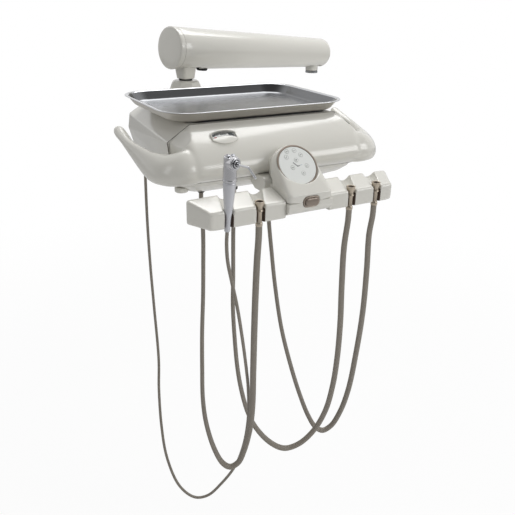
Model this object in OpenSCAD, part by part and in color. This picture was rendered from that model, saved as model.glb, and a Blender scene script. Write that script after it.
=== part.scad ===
// Dental delivery head that hangs from a balanced flex arm.
// Millimetres, +Z up. The origin is the mouth of the spindle bore, where a fixed arm's stud goes in.
// Two frames are used: the part's own, and the head's, whose zero is the front lower edge of the
// holder bar in the middle (x to the right, y to the back, z up).

/* [Flex arm] */
// Distance between the two lift pivots
arm_span = 426; // [380:1:480]
// Heading of the arm, seen from above
arm_yaw = 13; // [5:1:20]
// How steeply the arm rises towards the head at rest
arm_rise = 3.9; // [2:0.1:5]
// Height of the lift pivot over the spindle's mouth
pivot_z = 52; // [50:1:56]
// Cover radius at the end cap
cover_r_head = 45; // [43:0.2:47]
// Cover radius at the rounded end
cover_r_base = 36; // [34:0.2:38]
// Wall of the arm cover
cover_wall = 3; // [2:0.1:3.4]
// How far the cover runs past the spindle
cover_tail = 41; // [40:1:50]
// How far the end cap stands past the neck
cap_reach = 43; // [42:1:46]
// Length of the end cap's band
cap_band = 13; // [10:0.5:15]
// Height between the main link and the parallel link
link_rise = 20; // [19:0.5:21]
// Width of the main link
link_w = 26; // [24:1:30]
// Height of the main link
link_h = 20; // [18:1:22]
// Radius of the lift pins
pin_r = 4; // [3:0.25:4.5]

/* [Spindle] */
// Radius of the fixed collar and of the hub above it
hub_r = 16.4; // [14:0.1:17]
// Height of the fixed collar
collar_h = 5; // [4:0.5:7]
// Radius of the spindle shaft
spindle_r = 9; // [8.5:0.25:10]
// Radius of the stud bore in the spindle
stud_bore_r = 6; // [5:0.25:6.5]
// Depth of the stud bore
stud_bore_depth = 26; // [20:1:28]
// Running clearance of pins and shafts, on the radius
run_gap = 0.05; // [0.03:0.01:0.08]
// Gap between pieces that sit on each other and move apart
seat_gap = 0.3; // [0.2:0.05:0.4]

/* [Neck and boss] */
// Radius of the neck's spigot in the boss
spigot_r = 13; // [12:0.25:14]
// Length of the spigot
spigot_len = 40; // [34:1:44]
// Distance from the holder bar's front to the neck
neck_back = 507; // [500:1:515]
// Height of the lift pivot in the head's frame
head_pivot_h = 230; // [227:0.1:232]
// Height of the boss top in the head's frame
boss_top = 162; // [160:1:165]
// Height of the boss
boss_h = 30; // [26:1:32]

/* [Head] */
// Half width of the head at its crease
head_half_w = 196; // [190:1:200]
// Half width of the head's back end at the crease
head_back_half_w = 166; // [158:1:172]
// Half width of the head's flat top
top_half_w = 155; // [148:1:158]
// Back of the head
head_back = 440; // [430:1:450]
// Seam between front shell and rear cover
seam_y = 150; // [146:1:154]
// Height of the seam between shells and lower pan
seam_z = 50; // [48:0.5:52]
// Height of the crease on the sides
crease_z = 113; // [110:1:116]
// Height of the flat top
top_z = 140; // [139:0.5:141]
// Depth of the lower pan
pan_depth = 31; // [26:1:34]
// Wall of the moulded shells
shell_wall = 3.5; // [3:0.25:4.5]
// Gap around pieces let into a moulding
seam_gap = 0.4; // [0.3:0.1:0.8]

/* [Tray] */
// Length of the tray
tray_l = 384; // [370:1:390]
// Width of the tray
tray_w = 267; // [255:1:272]
// Depth of the tray
tray_d = 19; // [15:0.5:20]
// Sheet thickness of the tray
tray_t = 1.2; // [1:0.1:2]
// Middle of the tray from the holder bar's front
tray_y = 272; // [268:1:276]
// Thickness of the rubber mat under the tray
mat_t = 2; // [1.5:0.25:3]

/* [Holder bar] */
// Distance from the middle to the inner holder slots
slot_in = 95; // [93:0.5:97]
// Distance from the middle to the outer holder slots
slot_out = 153; // [150:0.5:155]
// Width of a holder slot
slot_w = 18.6; // [17:0.2:19]
// Width of the grip inside a slot, where a stem rests
grip_w = 11.2; // [10.8:0.1:11.8]
// Half length of the bar at its front
bar_half_front = 191; // [188:1:194]
// Half length of the bar at its back
bar_half_back = 209; // [206:1:212]
// Depth of the bar
bar_d = 53; // [50:1:56]
// Height of the bar's front face
bar_front_h = 33; // [31:0.5:35]
// Height of the bar's back edge
bar_back_h = 42.6; // [41:0.2:44]
// Half width of the middle housing
centre_half_w = 45; // [44:0.5:47]
// Height of the split between the middle housings
split_z = 26; // [24:0.5:28]
// Radius of the steel shaft that carries the holders
bar_shaft_r = 5; // [4:0.25:5.5]

/* [Touchpad and brake button] */
// Height of the touchpad's centre in the head's frame
pad_z = 77.9; // [76:0.1:79]
// Lean of the touchpad from level
pad_lean = 48.5; // [46:0.5:50]
// Outer radius of the touchpad's ring
ring_r = 38.5; // [37:0.25:40]
// Radius of the touchpad face
pad_r = 35.8; // [34:0.25:36.3]
// Radius of a key
key_r = 3.6; // [3:0.1:4]
// Travel of a key
key_travel = 0.5; // [0.3:0.1:0.8]
// Width of the brake button
brake_w = 27; // [24:0.5:29]
// Height of the brake button
brake_h = 13; // [11:0.5:14]
// How far the brake button stands out
brake_out = 4; // [3:0.25:5]

/* [Syringe, terminals and hoses] */
// Radius of a terminal's flare
flare_r = 8.3; // [8:0.1:8.6]
// Radius of a terminal's stem
stem_r = 5.2; // [4.8:0.1:5.6]
// Radius of a terminal's handpiece bore
terminal_bore_r = 3.6; // [3:0.1:4]
// Length of a terminal
terminal_len = 44; // [42:0.5:46]
// Radius of the syringe at its collar
syringe_r = 11.4; // [11:0.1:11.8]
// Radius of the syringe at its foot
syringe_foot_r = 5; // [4.6:0.1:5.4]
// Diameter of the syringe hose
hose_d_thin = 6; // [5.5:0.1:6.5]
// Diameter of the handpiece hoses
hose_d = 10; // [9:0.1:10.4]
// Length of a hose gland
gland_len = 9; // [7:0.5:12]

/* [Hidden] */

ivory = [0.85, 0.84, 0.8];
taupe = [0.52, 0.48, 0.44];
champagne = [0.73, 0.69, 0.62];
steel = [0.74, 0.75, 0.76];
rubber = [0.1, 0.1, 0.1];
$fn = 64;
big = 600;
sliver = 0.1;

// Places worked out from the sizes above
span_level = arm_span * cos(arm_rise);
post = [-span_level * cos(arm_yaw), -span_level * sin(arm_yaw)];
head_z = pivot_z + arm_span * sin(arm_rise) - head_pivot_h;
head_at = [post.x, post.y - neck_back, head_z];
plate_t = 12;
washer_t = 1.2;
bar_axis = [27, 20];
pad_y = 39.7;

module in_head() translate(head_at) children();
module in_arm(rise = 0) rotate([0, 0, 180 + arm_yaw]) translate([0, 0, pivot_z + rise])
    rotate([0, -arm_rise, 0]) children();
module on_post() translate([0, neck_back, 0]) children();
module on_pad() translate([0, pad_y, pad_z]) rotate([pad_lean, 0, 0]) children();
module along_x(x = 0) translate([x, 0, 0]) rotate([90, 0, 90]) children();
// A round bar across the arm or the bar, centred on the plane it crosses
module across(r, l) translate([0, l / 2, 0]) rotate([90, 0, 0]) cylinder(r = r, h = l);

// Points of an arc, counted from start to end
function arc(c, r, from, to, n = 6) =
    [for (i = [0:n]) c + r * [cos(from + (to - from) * i / n), sin(from + (to - from) * i / n)]];

// A four-sided outline, symmetric about x = 0, with rounded corners
function plan_outline(half_front, front, half_back, back, r_front, r_back, n = 5) = concat(
    arc([-half_back + r_back, back - r_back], r_back, 90, 180, n),
    arc([-half_front + r_front, front + r_front], r_front, 180, 270, n),
    arc([half_front - r_front, front + r_front], r_front, 270, 360, n),
    arc([half_back - r_back, back - r_back], r_back, 0, 90, n));

module level(z, outline) translate([0, 0, z]) linear_extrude(sliver) polygon(outline);

module rounded_box(l, w, h, r) linear_extrude(h) polygon(
    plan_outline(l / 2, -w / 2, l / 2, w / 2, r, r));

// ---------- Flex arm ----------

spindle_top = pivot_z - pin_r - 14;

module spindle() color(steel) difference() {
    union() {
        cylinder(r = hub_r, h = collar_h);
        cylinder(r = spindle_r, h = spindle_top);
    }
    translate([0, 0, -1]) cylinder(r = stud_bore_r, h = stud_bore_depth + 1);
}

module thrust_washer() color(rubber) translate([0, 0, collar_h]) difference() {
    cylinder(r = hub_r - 1.5, h = washer_t);
    translate([0, 0, -1]) cylinder(r = spindle_r + run_gap, h = 4);
}

// Upright plate with the two pin holes, in a frame whose zero is the lift pivot
module pin_plate(bottom) difference() {
    union() {
        translate([-13, -plate_t / 2, bottom]) cube([26, plate_t, 8 - bottom]);
        translate([-7, -plate_t / 2, 0]) cube([14, plate_t, link_rise]);
        translate([0, 0, link_rise]) across(7, plate_t);
    }
    across(pin_r, 2 * plate_t);
    translate([0, 0, link_rise]) across(pin_r - 1, 2 * plate_t);
}

hub_bottom = collar_h + washer_t + seat_gap;
hub_h = 14;
module base_knuckle() color(ivory) rotate([0, 0, 180 + arm_yaw]) difference() {
    union() {
        translate([0, 0, hub_bottom]) cylinder(r = hub_r, h = hub_h);
        translate([0, 0, hub_bottom]) cylinder(r = hub_r - 3, h = spindle_top + 4 - hub_bottom);
        translate([0, 0, pivot_z]) pin_plate(-16);
    }
    cylinder(r = spindle_r + run_gap, h = spindle_top + seat_gap);
}

// The pins of one knuckle: the main pin and the thinner upper one
module knuckle_pins() {
    across(pin_r, link_w + 2);
    translate([0, 0, link_rise]) across(pin_r - 1, link_w - 4);
}

module base_pins() color(steel) rotate([0, 0, 180 + arm_yaw]) translate([0, 0, pivot_z])
    knuckle_pins();

// Tapered cover: a revolved wall, closed and rounded at the spindle end
function cover_r(x) = cover_r_base
    + (cover_r_head - cover_r_base) * (x + cover_tail) / (arm_span + cap_reach + cover_tail);
cover_end = arm_span + cap_reach - cap_band;
tail_round = 15;

module cover_profile(inset, x_to) polygon(concat(
    [[0, -cover_tail + inset]],
    arc([cover_r_base - tail_round, -cover_tail + tail_round], tail_round - inset, 270, 360, 8),
    [[cover_r(x_to) - inset, x_to], [0, x_to]]));

// Slot for a knuckle, cut through the underside from x_low to x_high
module under_slot(x_low, x_high, half) translate([0, 0, -big]) linear_extrude(big - 6)
    polygon(concat(arc([x_high - half / 2, half / 2], half / 2, 90, 0, 4),
        arc([x_high - half / 2, -half / 2], half / 2, 0, -90, 4),
        arc([x_low + half / 2, -half / 2], half / 2, -90, -180, 4),
        arc([x_low + half / 2, half / 2], half / 2, 180, 90, 4)));

neck_slot = 38;
neck_half = 21.5;
bumper_x = arm_span - 50;
bumper_seat = -cover_r(bumper_x) + 2;

module arm_cover() color(ivory) in_arm() difference() {
    union() {
        rotate([0, 90, 0]) rotate_extrude() difference() {
            cover_profile(0, cover_end);
            cover_profile(cover_wall, cover_end + 1);
        }
        // Feet that stand on the wall and carry the main link
        for (x = [arm_span * 0.25, arm_span * 0.75]) translate([x, -5, -cover_r(x) + 1])
            cube([6, 10, cover_r(x) - 1 - link_h / 2]);
    }
    under_slot(-30, 30, hub_r + 2.3);
    under_slot(arm_span - neck_slot, cover_end + 40, neck_half);
    translate([bumper_x, 0, bumper_seat - 20]) cylinder(r = 13.4, h = 20);
}

module arm_end_cap() color(ivory) in_arm() difference() {
    rotate([0, 90, 0]) rotate_extrude() polygon(concat(
        [[0, cover_end + 6], [cover_r_head - 9, cover_end + 6], [cover_r_head - 9, cover_end - 5],
            [cover_r_head - cover_wall - 0.8, cover_end - 5],
            [cover_r_head - cover_wall - 0.8, cover_end], [cover_r_head, cover_end]],
        arc([cover_r_head - 4, cover_end + cap_band - 4], 4, 0, 80, 5),
        [[0, cover_end + cap_band + 0.5]]));
    under_slot(arm_span - neck_slot, arm_span + neck_slot, neck_half);
}

module arm_bumper() color(rubber) in_arm() translate([bumper_x, 0, bumper_seat - 6])
    rotate_extrude() polygon(concat([[0, 0]], arc([9, 4], 4, 270, 360, 5), [[13, 6], [0, 6]]));

// Fork that straddles a pin plate, with its open end towards dir
module fork_slot(dir) translate([dir > 0 ? -26 : -14, -plate_t / 2 - seat_gap, -25])
    cube([40, plate_t + 2 * seat_gap, 50]);

module main_link() color("silver") in_arm() difference() {
    union() {
        translate([0, -link_w / 2, -link_h / 2]) cube([arm_span, link_w, link_h]);
        for (x = [0, arm_span]) translate([x, 0, 0]) across(link_h / 2, link_w);
    }
    translate([arm_span, 0, 0]) fork_slot(1);
    fork_slot(-1);
    for (x = [0, arm_span]) translate([x, 0, 0]) across(pin_r + run_gap, 2 * link_w);
}

module parallel_link() color("silver") in_arm(link_rise) difference() {
    union() {
        translate([24, 0, 0]) rotate([0, 90, 0]) cylinder(r = 4.5, h = arm_span - 48);
        for (x = [0, arm_span - 30]) translate([x, -link_w / 2 + 3, -5]) cube([30, link_w - 6, 10]);
        for (x = [0, arm_span]) translate([x, 0, 0]) across(5, link_w - 6);
    }
    fork_slot(-1);
    translate([arm_span, 0, 0]) fork_slot(1);
    across(pin_r - 1 + run_gap, 2 * link_w);
    translate([arm_span, 0, 0]) across(pin_r - 0.6, 2 * link_w);
}

// Knuckle at the head end: pin plate, tapered neck and the spigot that turns in the boss
neck_bottom = boss_top + 3 + seat_gap;

module head_knuckle() color(ivory) in_head() on_post() rotate([0, 0, arm_yaw]) {
    translate([0, 0, head_pivot_h]) pin_plate(-31);
    hull() {
        level(neck_bottom, plan_outline(16, -16, 16, 16, 7, 7));
        level(190, plan_outline(18, -19, 18, 19, 5, 5));
        level(head_pivot_h - 30, plan_outline(17, -18, 17, 18, 5, 5));
    }
    translate([0, 0, neck_bottom - spigot_len]) cylinder(r = spigot_r, h = spigot_len);
}

module head_pins() color(steel) in_head() on_post() rotate([0, 0, arm_yaw])
    translate([0, 0, head_pivot_h]) knuckle_pins();

boss_bottom = boss_top - boss_h;

module post_boss() color(ivory) in_head() on_post() difference() {
    hull() {
        translate([0, 0, boss_top - 1]) cylinder(r = 26, h = 1, $fn = 8);
        translate([0, 0, boss_top - 4]) cylinder(r = 31.5, h = 1, $fn = 8);
        translate([0, 0, boss_top - 13]) cylinder(r = 36, h = 1, $fn = 8);
        translate([0, 0, boss_bottom]) cylinder(r = 40, h = 6, $fn = 8);
    }
    translate([0, 0, boss_bottom - 1]) cylinder(r = spigot_r + run_gap, h = boss_h + 2);
}

module swivel_bush() color(rubber) in_head() on_post() translate([0, 0, boss_top]) difference() {
    cylinder(r = 15, h = 3);
    translate([0, 0, -1]) cylinder(r = spigot_r + run_gap, h = 5);
}

// ---------- Head ----------

// Bracket that ties the boss to the back of the head
module head_bracket() color(ivory) in_head() difference() {
    hull() {
        level(boss_bottom - sliver, plan_outline(44, head_back, 40, neck_back + 40, 6, 30));
        level(96, plan_outline(48, head_back, 34, neck_back + 28, 6, 26));
        level(84, plan_outline(44, head_back, 28, neck_back + 10, 6, 20));
    }
    on_post() translate([0, 0, neck_bottom - spigot_len - 5])
        cylinder(r = spigot_r + run_gap, h = spigot_len);
}

// Front face of the head: height over the seam, and how far back it stands there
face_levels = [[0, 100], [6, 89], [14, 80.5], [23, 77], [34, 79.5], [46, 87], [58, 97.5],
    [69, 110], [79, 124], [86, 136.5], [91, 150]];
corner_half_w = 180;
face_scale = (top_z - seam_z) / 91;

function side_half_w(z) = z < crease_z ? head_half_w - 8 * (crease_z - z) / (crease_z - seam_z)
    : head_half_w + (top_half_w - head_half_w) * (z - crease_z) / (top_z - crease_z);

function face_outline(half, front, side, r) = concat(
    [[-side, seam_y + 60], [-side, seam_y]],
    arc([-half + r, front + r], r, 180, 270, 5),
    arc([half - r, front + r], r, 270, 360, 5),
    [[side, seam_y], [side, seam_y + 60]]);

module front_body(inset) hull() for (l = face_levels) {
    z = seam_z + l[0] * face_scale;
    side = side_half_w(z) - inset;
    front = l[1] - 150 + seam_y;
    level(l[0] > 70 ? z - inset : z + (l[0] > 0 ? 0 : inset), face_outline(
        min(corner_half_w - inset, side - 1), front + (l[0] > 90 ? 0 : inset), side,
        max(1, min(14, (seam_y - l[1]) * 0.6))));
}

// Handle: place, half thickness, half height, lean, heading and rake of each section, left side
handle_sections = [
    [-120, 97, 73.5, 20, 23.4, 0, 90, 0], [-160, 97, 73.5, 20, 23.4, 0, 90, 0],
    [-178, 97, 75, 20, 24.4, 0, 82, 3], [-194, 100, 76, 20, 25.4, 1, 66, 7],
    [-207, 109, 76, 19.5, 25, 2, 49, 10], [-217, 122, 75.5, 18, 24, 4, 32, 10],
    [-223, 136, 75.5, 16.5, 24, 6, 20, 8], [-227.5, 152, 76.5, 15, 23.6, 7, 14, 5],
    [-231, 172, 81, 13.6, 21.5, 7.5, 11, 3], [-235, 194, 87.5, 12.6, 17.8, 7.5, 9, 1],
    [-238, 216, 95.5, 11.9, 14, 6, 7, 0], [-240, 238, 105, 11.3, 11, 3, 6, 0],
    [-242, 258, 113, 10.6, 9.6, 0, 5, 0], [-242.7, 266, 116, 8.6, 7.8, 0, 5, 0],
    [-243, 270, 117.5, 4.5, 4.2, 0, 5, 0]];

module handle_section(s) translate([s[0], s[1], s[2]]) rotate([90, 0, s[6]])
    linear_extrude(sliver) polygon([for (i = [0:17]) let (a = 20 * i)
        [s[3] * cos(a) + s[7] * sin(a), s[4] * sin(a) - s[5] * cos(a)]]);

module handle() for (i = [0:len(handle_sections) - 2]) hull() {
    handle_section(handle_sections[i]);
    handle_section(handle_sections[i + 1]);
}

gauge_at = [-105, 113.6, 122.1];
gauge_lean = 38.5;
module on_gauge() translate(gauge_at) rotate([gauge_lean, 0, 0]) children();

// Outline of the gauge, between two arcs: an arched window above a lip
gauge_half = 24.5;
function arch(half, low, rise, grow, n = 12) = let (r = (half * half + rise * rise) / 2 / rise,
    a = asin(half / r)) arc([0, low + rise - r], r + grow, 90 - a, 90 + a, n);
module gauge_outline(grow) offset(delta = grow) polygon(concat(
    arch(gauge_half, 9, 6, 0), [for (q = arch(gauge_half, 6.5, 8.5, 0)) [-q.x, -q.y]]));
module gauge_band(grow) offset(delta = grow) polygon(concat(
    arch(gauge_half, 9, 6, 0), [for (q = arch(gauge_half, -6.8, 5.6, 0)) [-q.x, q.y]]));

// Hollows scooped out of the front body's corners, between the seam and the handles
scoop_r = 55;
scoop_at = [head_half_w + 13.7, seam_y - 30.3, seam_z + 106.9];
module scoops(grow) for (s = [-1, 1]) translate([s * scoop_at.x, scoop_at.y, scoop_at.z])
    sphere(r = scoop_r + grow);

module front_shell() color(ivory) in_head() difference() {
    union() {
        difference() {
            intersection() {
                front_body(0);
                translate([-big / 2, 0, seam_z]) cube([big, seam_y, big]);
            }
            scoops(0);
        }
        handle();
        mirror([1, 0, 0]) handle();
    }
    difference() {
        front_body(shell_wall);
        scoops(shell_wall);
    }
    on_gauge() translate([0, 0, -14]) linear_extrude(30) gauge_outline(0);
}

bulge_z = 85;
module cover_block(inset, bottom) hull() {
    level(bulge_z, plan_outline(side_half_w(bulge_z) - inset, seam_y,
        head_back_half_w + 4 - inset, head_back - inset, 1, 20));
    level(bottom, plan_outline(head_half_w - 8 - inset, seam_y, head_back_half_w - 6 - inset,
        head_back - inset, 1, 20));
    level(crease_z, plan_outline(head_half_w - inset, seam_y, head_back_half_w - inset,
        head_back - inset, 1, 20));
    level(top_z - inset, plan_outline(top_half_w - inset * 0.6, seam_y,
        top_half_w - 28 - inset * 0.6, head_back - 16 - inset, 1, 12));
}

module rear_cover() color(ivory) in_head() difference() {
    cover_block(0, seam_z);
    translate([0, -1, -1]) cover_block(shell_wall, seam_z);
}

module pan_block(inset) hull() {
    level(seam_z - sliver, plan_outline(188 - inset, 103 + inset, 160 - inset,
        head_back - inset, 34, 20));
    level(seam_z - pan_depth / 3, plan_outline(186 - inset, 111 + inset, 160 - inset,
        head_back - 1 - inset, 34, 20));
    level(seam_z - pan_depth * 0.7, plan_outline(178 - inset, 125 + inset, 159 - inset,
        head_back - 5 - inset, 34, 24));
    level(seam_z - pan_depth + inset, plan_outline(158 - inset, 144 + inset, 156 - inset,
        head_back - 12 - inset, 30, 26));
}

// Hose outlets in the pan, in the head's frame
outlets = [[-148, 395], [-124, 170], [-60, 160], [16, 160]];
pan_bottom = seam_z - pan_depth;
gland_r = 8;
knob_at = [-176, 140, 33];
knob_seat = 35.6;
screw_spots = [[-110, 230], [110, 230], [-110, 370], [110, 370]];

module lower_pan() color(ivory) in_head() difference() {
    pan_block(0);
    difference() {
        translate([0, 0, 0.5]) pan_block(shell_wall);
        translate([knob_at.x, knob_at.y, 0]) cylinder(r = 15, h = 42);
    }
    translate([knob_at.x, knob_at.y, 0]) cylinder(r = 13.2, h = knob_seat);
    translate([knob_at.x, knob_at.y, 0]) cylinder(r = 4 + run_gap, h = 60);
    for (o = outlets) translate([o.x, o.y, pan_bottom - 5]) cylinder(r = gland_r - 2.4, h = 20);
    for (o = screw_spots) translate([o.x, o.y, pan_bottom - 5]) cylinder(r = 2.3, h = 20);
}

module hose_glands() color(rubber) in_head() for (o = outlets)
    translate([o.x, o.y, pan_bottom - gland_len]) {
        cylinder(r1 = gland_r - 1.5, r2 = gland_r, h = gland_len);
        cylinder(r = gland_r - 2.5, h = gland_len + shell_wall + 2);
    }

module pan_screws() color(steel) in_head() for (o = screw_spots)
    translate([o.x, o.y, pan_bottom - 2.2]) difference() {
        union() {
            cylinder(r = 5, h = 2.2);
            translate([0, 0, 2]) cylinder(r = 2, h = 8);
        }
        translate([0, 0, -1]) cylinder(r = 2.1, h = 2.4, $fn = 6);
    }

module control_block() color("dimgray") in_head() {
    translate([-90, 210, pan_bottom + shell_wall + 0.5]) cube([180, 90, 42]);
    for (i = [0:3]) translate([-67 + 45 * i, 212, pan_bottom + 26]) rotate([90, 0, 0])
        cylinder(r = 12, h = 24);
}

module tray_mat() color(rubber) in_head() translate([0, tray_y, top_z + sliver]) difference() {
    rounded_box(tray_l - 94, tray_w - 38, mat_t - sliver, 20);
    translate([0, 0, -1]) rounded_box(tray_l - 134, tray_w - 78, 10, 12);
}

tray_bottom = top_z + mat_t + seat_gap;

module tray_wall(grow, z, r) level(z, plan_outline(tray_l / 2 - 20 + grow, -tray_w / 2 + 20 - grow,
    tray_l / 2 - 20 + grow, tray_w / 2 - 20 + grow, r, r, 6));

module tray() color(steel) in_head() translate([-4, tray_y, tray_bottom]) {
    difference() {
        hull() {
            tray_wall(2, 0, 26);
            tray_wall(14, tray_d - sliver, 36);
        }
        hull() {
            tray_wall(2 - tray_t, tray_t, 25);
            tray_wall(13.5, tray_d, 35);
        }
    }
    translate([0, 0, tray_d - tray_t]) difference() {
        rounded_box(tray_l, tray_w, tray_t, 44);
        translate([0, 0, -1]) rounded_box(tray_l - 13, tray_w - 13, 5, 37);
    }
}

// Gauge, leaning with the front face
needle_at = [0, -9];

module gauge_bezel() color(ivory) in_head() on_gauge() difference() {
    translate([0, 0, -6]) linear_extrude(8) gauge_outline(0);
    translate([0, 0, -3]) linear_extrude(2.8) gauge_outline(-2);
    translate([0, 0, -1]) linear_extrude(12) gauge_band(-1.6);
}

module gauge_dial() color("white") in_head() on_gauge() {
    translate([0, 0, -3]) linear_extrude(1) gauge_outline(-2.3);
    translate([needle_at.x, needle_at.y, -2.5]) cylinder(r = 0.6, h = 1.4);
}

module gauge_needle() color("red") in_head() on_gauge()
    translate([needle_at.x, needle_at.y, -2 + seat_gap]) difference() {
        union() {
            rotate([0, 0, 55]) translate([-0.6, 0, 0]) cube([1.2, 19, 0.8]);
            cylinder(r = 1.6, h = 0.8);
        }
        translate([0, 0, -1]) cylinder(r = 0.6 + run_gap, h = 4);
    }

module gauge_window() color([0.9, 0.95, 1, 0.4]) in_head() on_gauge() translate([0, 0, 0.4])
    linear_extrude(1.2) gauge_band(-1.6);

module flow_knob() color(ivory) in_head() translate(knob_at) difference() {
    rotate_extrude() polygon(concat([[0, -7]], arc([9.5, -4.5], 2.5, 270, 360, 4),
        [[12, knob_seat - seat_gap - knob_at.z], [4, knob_seat - seat_gap - knob_at.z],
            [4, 12], [0, 12]]));
    translate([-7, -0.8, -9]) cube([14, 1.6, 3.2]);
}

// ---------- Holder bar and touchpad ----------

// Neck under the front shell that carries the holder bar
neck_half_w = 52;
module holder_neck() color(ivory) in_head() difference() {
    union() {
        along_x(-neck_half_w) linear_extrude(2 * neck_half_w) polygon(concat(arc([75, 42], 14, 270, 90, 10),
            [[100, 56], [118, 50], [118, 40], [96, 28]]));
        translate([-40, 52, 9]) cube([80, 30, 36]);
    }
    pan_block(0);
    front_body(0);
}

// Side profile of the bar: a flat front, a rounded ridge and a top that climbs to the back
bar_profile = concat(
    arc([3, 3], 3, 270, 180, 4),
    arc([6, bar_front_h - 7], 6, 180, 110, 4),
    arc([bar_d - 5, bar_back_h - 5], 5, 98, 0, 5),
    arc([bar_d - 4, 4], 4, 0, -90, 4));

// Plan of one holder, for the right side
module holder_plan() polygon(concat(
    [[centre_half_w + seam_gap, -20], [centre_half_w + seam_gap, bar_d + 20]],
    arc([bar_half_back - 8, bar_d - 8], 8, 90, 10, 5),
    arc([bar_half_front - 7, 7], 7, 10, -90, 5),
    [[bar_half_front - 7, -20]]));

module holder_block() intersection() {
    along_x(0) linear_extrude(bar_half_back + 5) polygon(bar_profile);
    linear_extrude(80) holder_plan();
    // The bar shaft's bore, kept open
    difference() {
        translate([0, -50, -50]) cube([big, 200, 200]);
        translate([0, bar_axis[0], bar_axis[1]]) rotate([0, 90, 0])
            cylinder(r = bar_shaft_r + run_gap, h = centre_half_w + 26);
    }
}

slot_y = 6;
slot_r = slot_w / 2;
grip_r = grip_w / 2;
ledge_r = stem_r + 2.5;
grip_top = 20;
slot_open = 13;

// A slot, in its own frame: zero on the axis of what hangs in it, at the bar's underside
module slot_outline(r, mouth) polygon(concat([[-mouth - 2, -9], [-mouth, -slot_y + 2], [-r, 0]],
    arc([0, 0], r, 180, 0, 12), [[r, 0], [mouth, -slot_y + 2], [mouth + 2, -9]]));
module slot_part(z_low, z_high, r, mouth) translate([0, 0, z_low])
    linear_extrude(z_high - z_low) slot_outline(r, mouth);

module slot_cut() {
    slot_part(-10, grip_top + 1, grip_r, grip_r + 2);
    translate([0, 0, grip_top]) linear_extrude(slot_open, scale = slot_r / ledge_r)
        slot_outline(ledge_r, ledge_r);
    slot_part(grip_top + slot_open - sliver, 80, slot_r, slot_r);
}

// The trough behind a slot, for the body of a handpiece
module slot_scoop(x) translate([x, slot_y, bar_front_h + 2]) rotate([0, 0, -20])
    rotate([-76, 0, 0]) cylinder(r1 = slot_r - 0.2, r2 = 15.5, h = 66);

// Syringe frame: zero at the foot, z along the body
syringe_lean = [2.2, 1.6];
syringe_foot = [-slot_out - 1.6, 7, -7];
syringe_up = [sin(syringe_lean[1]) * cos(syringe_lean[0]), -sin(syringe_lean[0]),
    cos(syringe_lean[1]) * cos(syringe_lean[0])];
module on_syringe() translate(syringe_foot) rotate([syringe_lean[0], syringe_lean[1], 0])
    children();

module left_holder() color(ivory) in_head() difference() {
    mirror([1, 0, 0]) holder_block();
    translate([-slot_in, slot_y, 0]) slot_cut();
    on_syringe() translate([0, 0, 7]) slot_cut();
    slot_scoop(-slot_in);
    slot_scoop(-slot_out);
}

module right_holder() color(ivory) in_head() difference() {
    holder_block();
    for (x = [slot_in, slot_out]) {
        translate([x, slot_y, 0]) slot_cut();
        slot_scoop(x);
    }
}

module bar_shaft() color(steel) in_head()
    translate([-centre_half_w - 24, bar_axis[0], bar_axis[1]]) rotate([0, 90, 0])
        cylinder(r = bar_shaft_r, h = 2 * centre_half_w + 48);

module centre_lower() color(ivory) in_head() difference() {
    along_x(-centre_half_w) linear_extrude(2 * centre_half_w) polygon(concat(
        arc([6, 18], 14, 180, 270, 6), arc([46, 10], 6, 270, 360, 3),
        [[52, split_z], [-8, split_z]]));
    translate([-big / 2, bar_axis[0], bar_axis[1]]) rotate([0, 90, 0])
        cylinder(r = bar_shaft_r, h = big);
    brake_pocket();
}

module on_brake() translate([0, -8, split_z + 0.3]) rotate([90, 0, 0]) children();
module brake_outline(grow) polygon(plan_outline(brake_w / 2 + grow, -brake_h / 2 - grow,
    brake_w / 2 + grow, brake_h / 2 + grow, brake_h / 2 + grow - 1, brake_h / 2 + grow - 1, 6));
brake_rim = 3;
module brake_pocket() on_brake() translate([0, 0, -6]) linear_extrude(20)
    brake_outline(brake_rim + seam_gap);

pad_seat = -3.4;
module centre_upper() color(ivory) in_head() difference() {
    hull() {
        on_pad() translate([0, 0, -4]) cylinder(r = ring_r + 2.4, h = 2.4, $fn = 40);
        on_pad() translate([0, 0, -18]) cylinder(r = centre_half_w - 0.6, h = 6, $fn = 40);
        translate([0, 0, split_z]) linear_extrude(14) polygon(plan_outline(
            centre_half_w, -8, centre_half_w, 52, 7, 3));
        translate([-32, 56, 44]) cube([64, 28, 36]);
    }
    on_pad() translate([0, 0, pad_seat]) cylinder(r = ring_r + seam_gap, h = 20);
    brake_pocket();
    front_body(0);
    translate([-big / 2, 52, 0]) cube([big, 60, 56]);
}

module touchpad_ring() color(taupe) in_head() on_pad() translate([0, 0, pad_seat]) difference() {
    cylinder(r = ring_r, h = 3.8);
    translate([0, 0, 1.2]) cylinder(r = pad_r + 0.2, h = 6);
}

// Key centres on the touchpad face
key_spots = [[-11.9, 28], [3.5, 28.4], [13.4, 18.5], [-16.7, 17.6], [0.6, 10], [18.1, -3.1],
    [-11.3, -3.3], [6, -16.3]];
face_bottom = pad_seat + 1.2;
key_floor = face_bottom + 1;

module touchpad_face() color("whitesmoke") in_head() on_pad() translate([0, 0, face_bottom])
    difference() {
        cylinder(r = pad_r, h = 2.8);
        for (k = key_spots) translate([k.x, k.y, key_floor - face_bottom])
            cylinder(r = key_r + run_gap, h = 4);
    }

module touch_key(i) color("white") in_head() on_pad()
    translate([key_spots[i].x, key_spots[i].y, key_floor + key_travel + 0.1])
        cylinder(r = key_r, h = 1.9);
module touch_key_1() touch_key(0);
module touch_key_2() touch_key(1);
module touch_key_3() touch_key(2);
module touch_key_4() touch_key(3);
module touch_key_5() touch_key(4);
module touch_key_6() touch_key(5);
module touch_key_7() touch_key(6);
module touch_key_8() touch_key(7);

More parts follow.
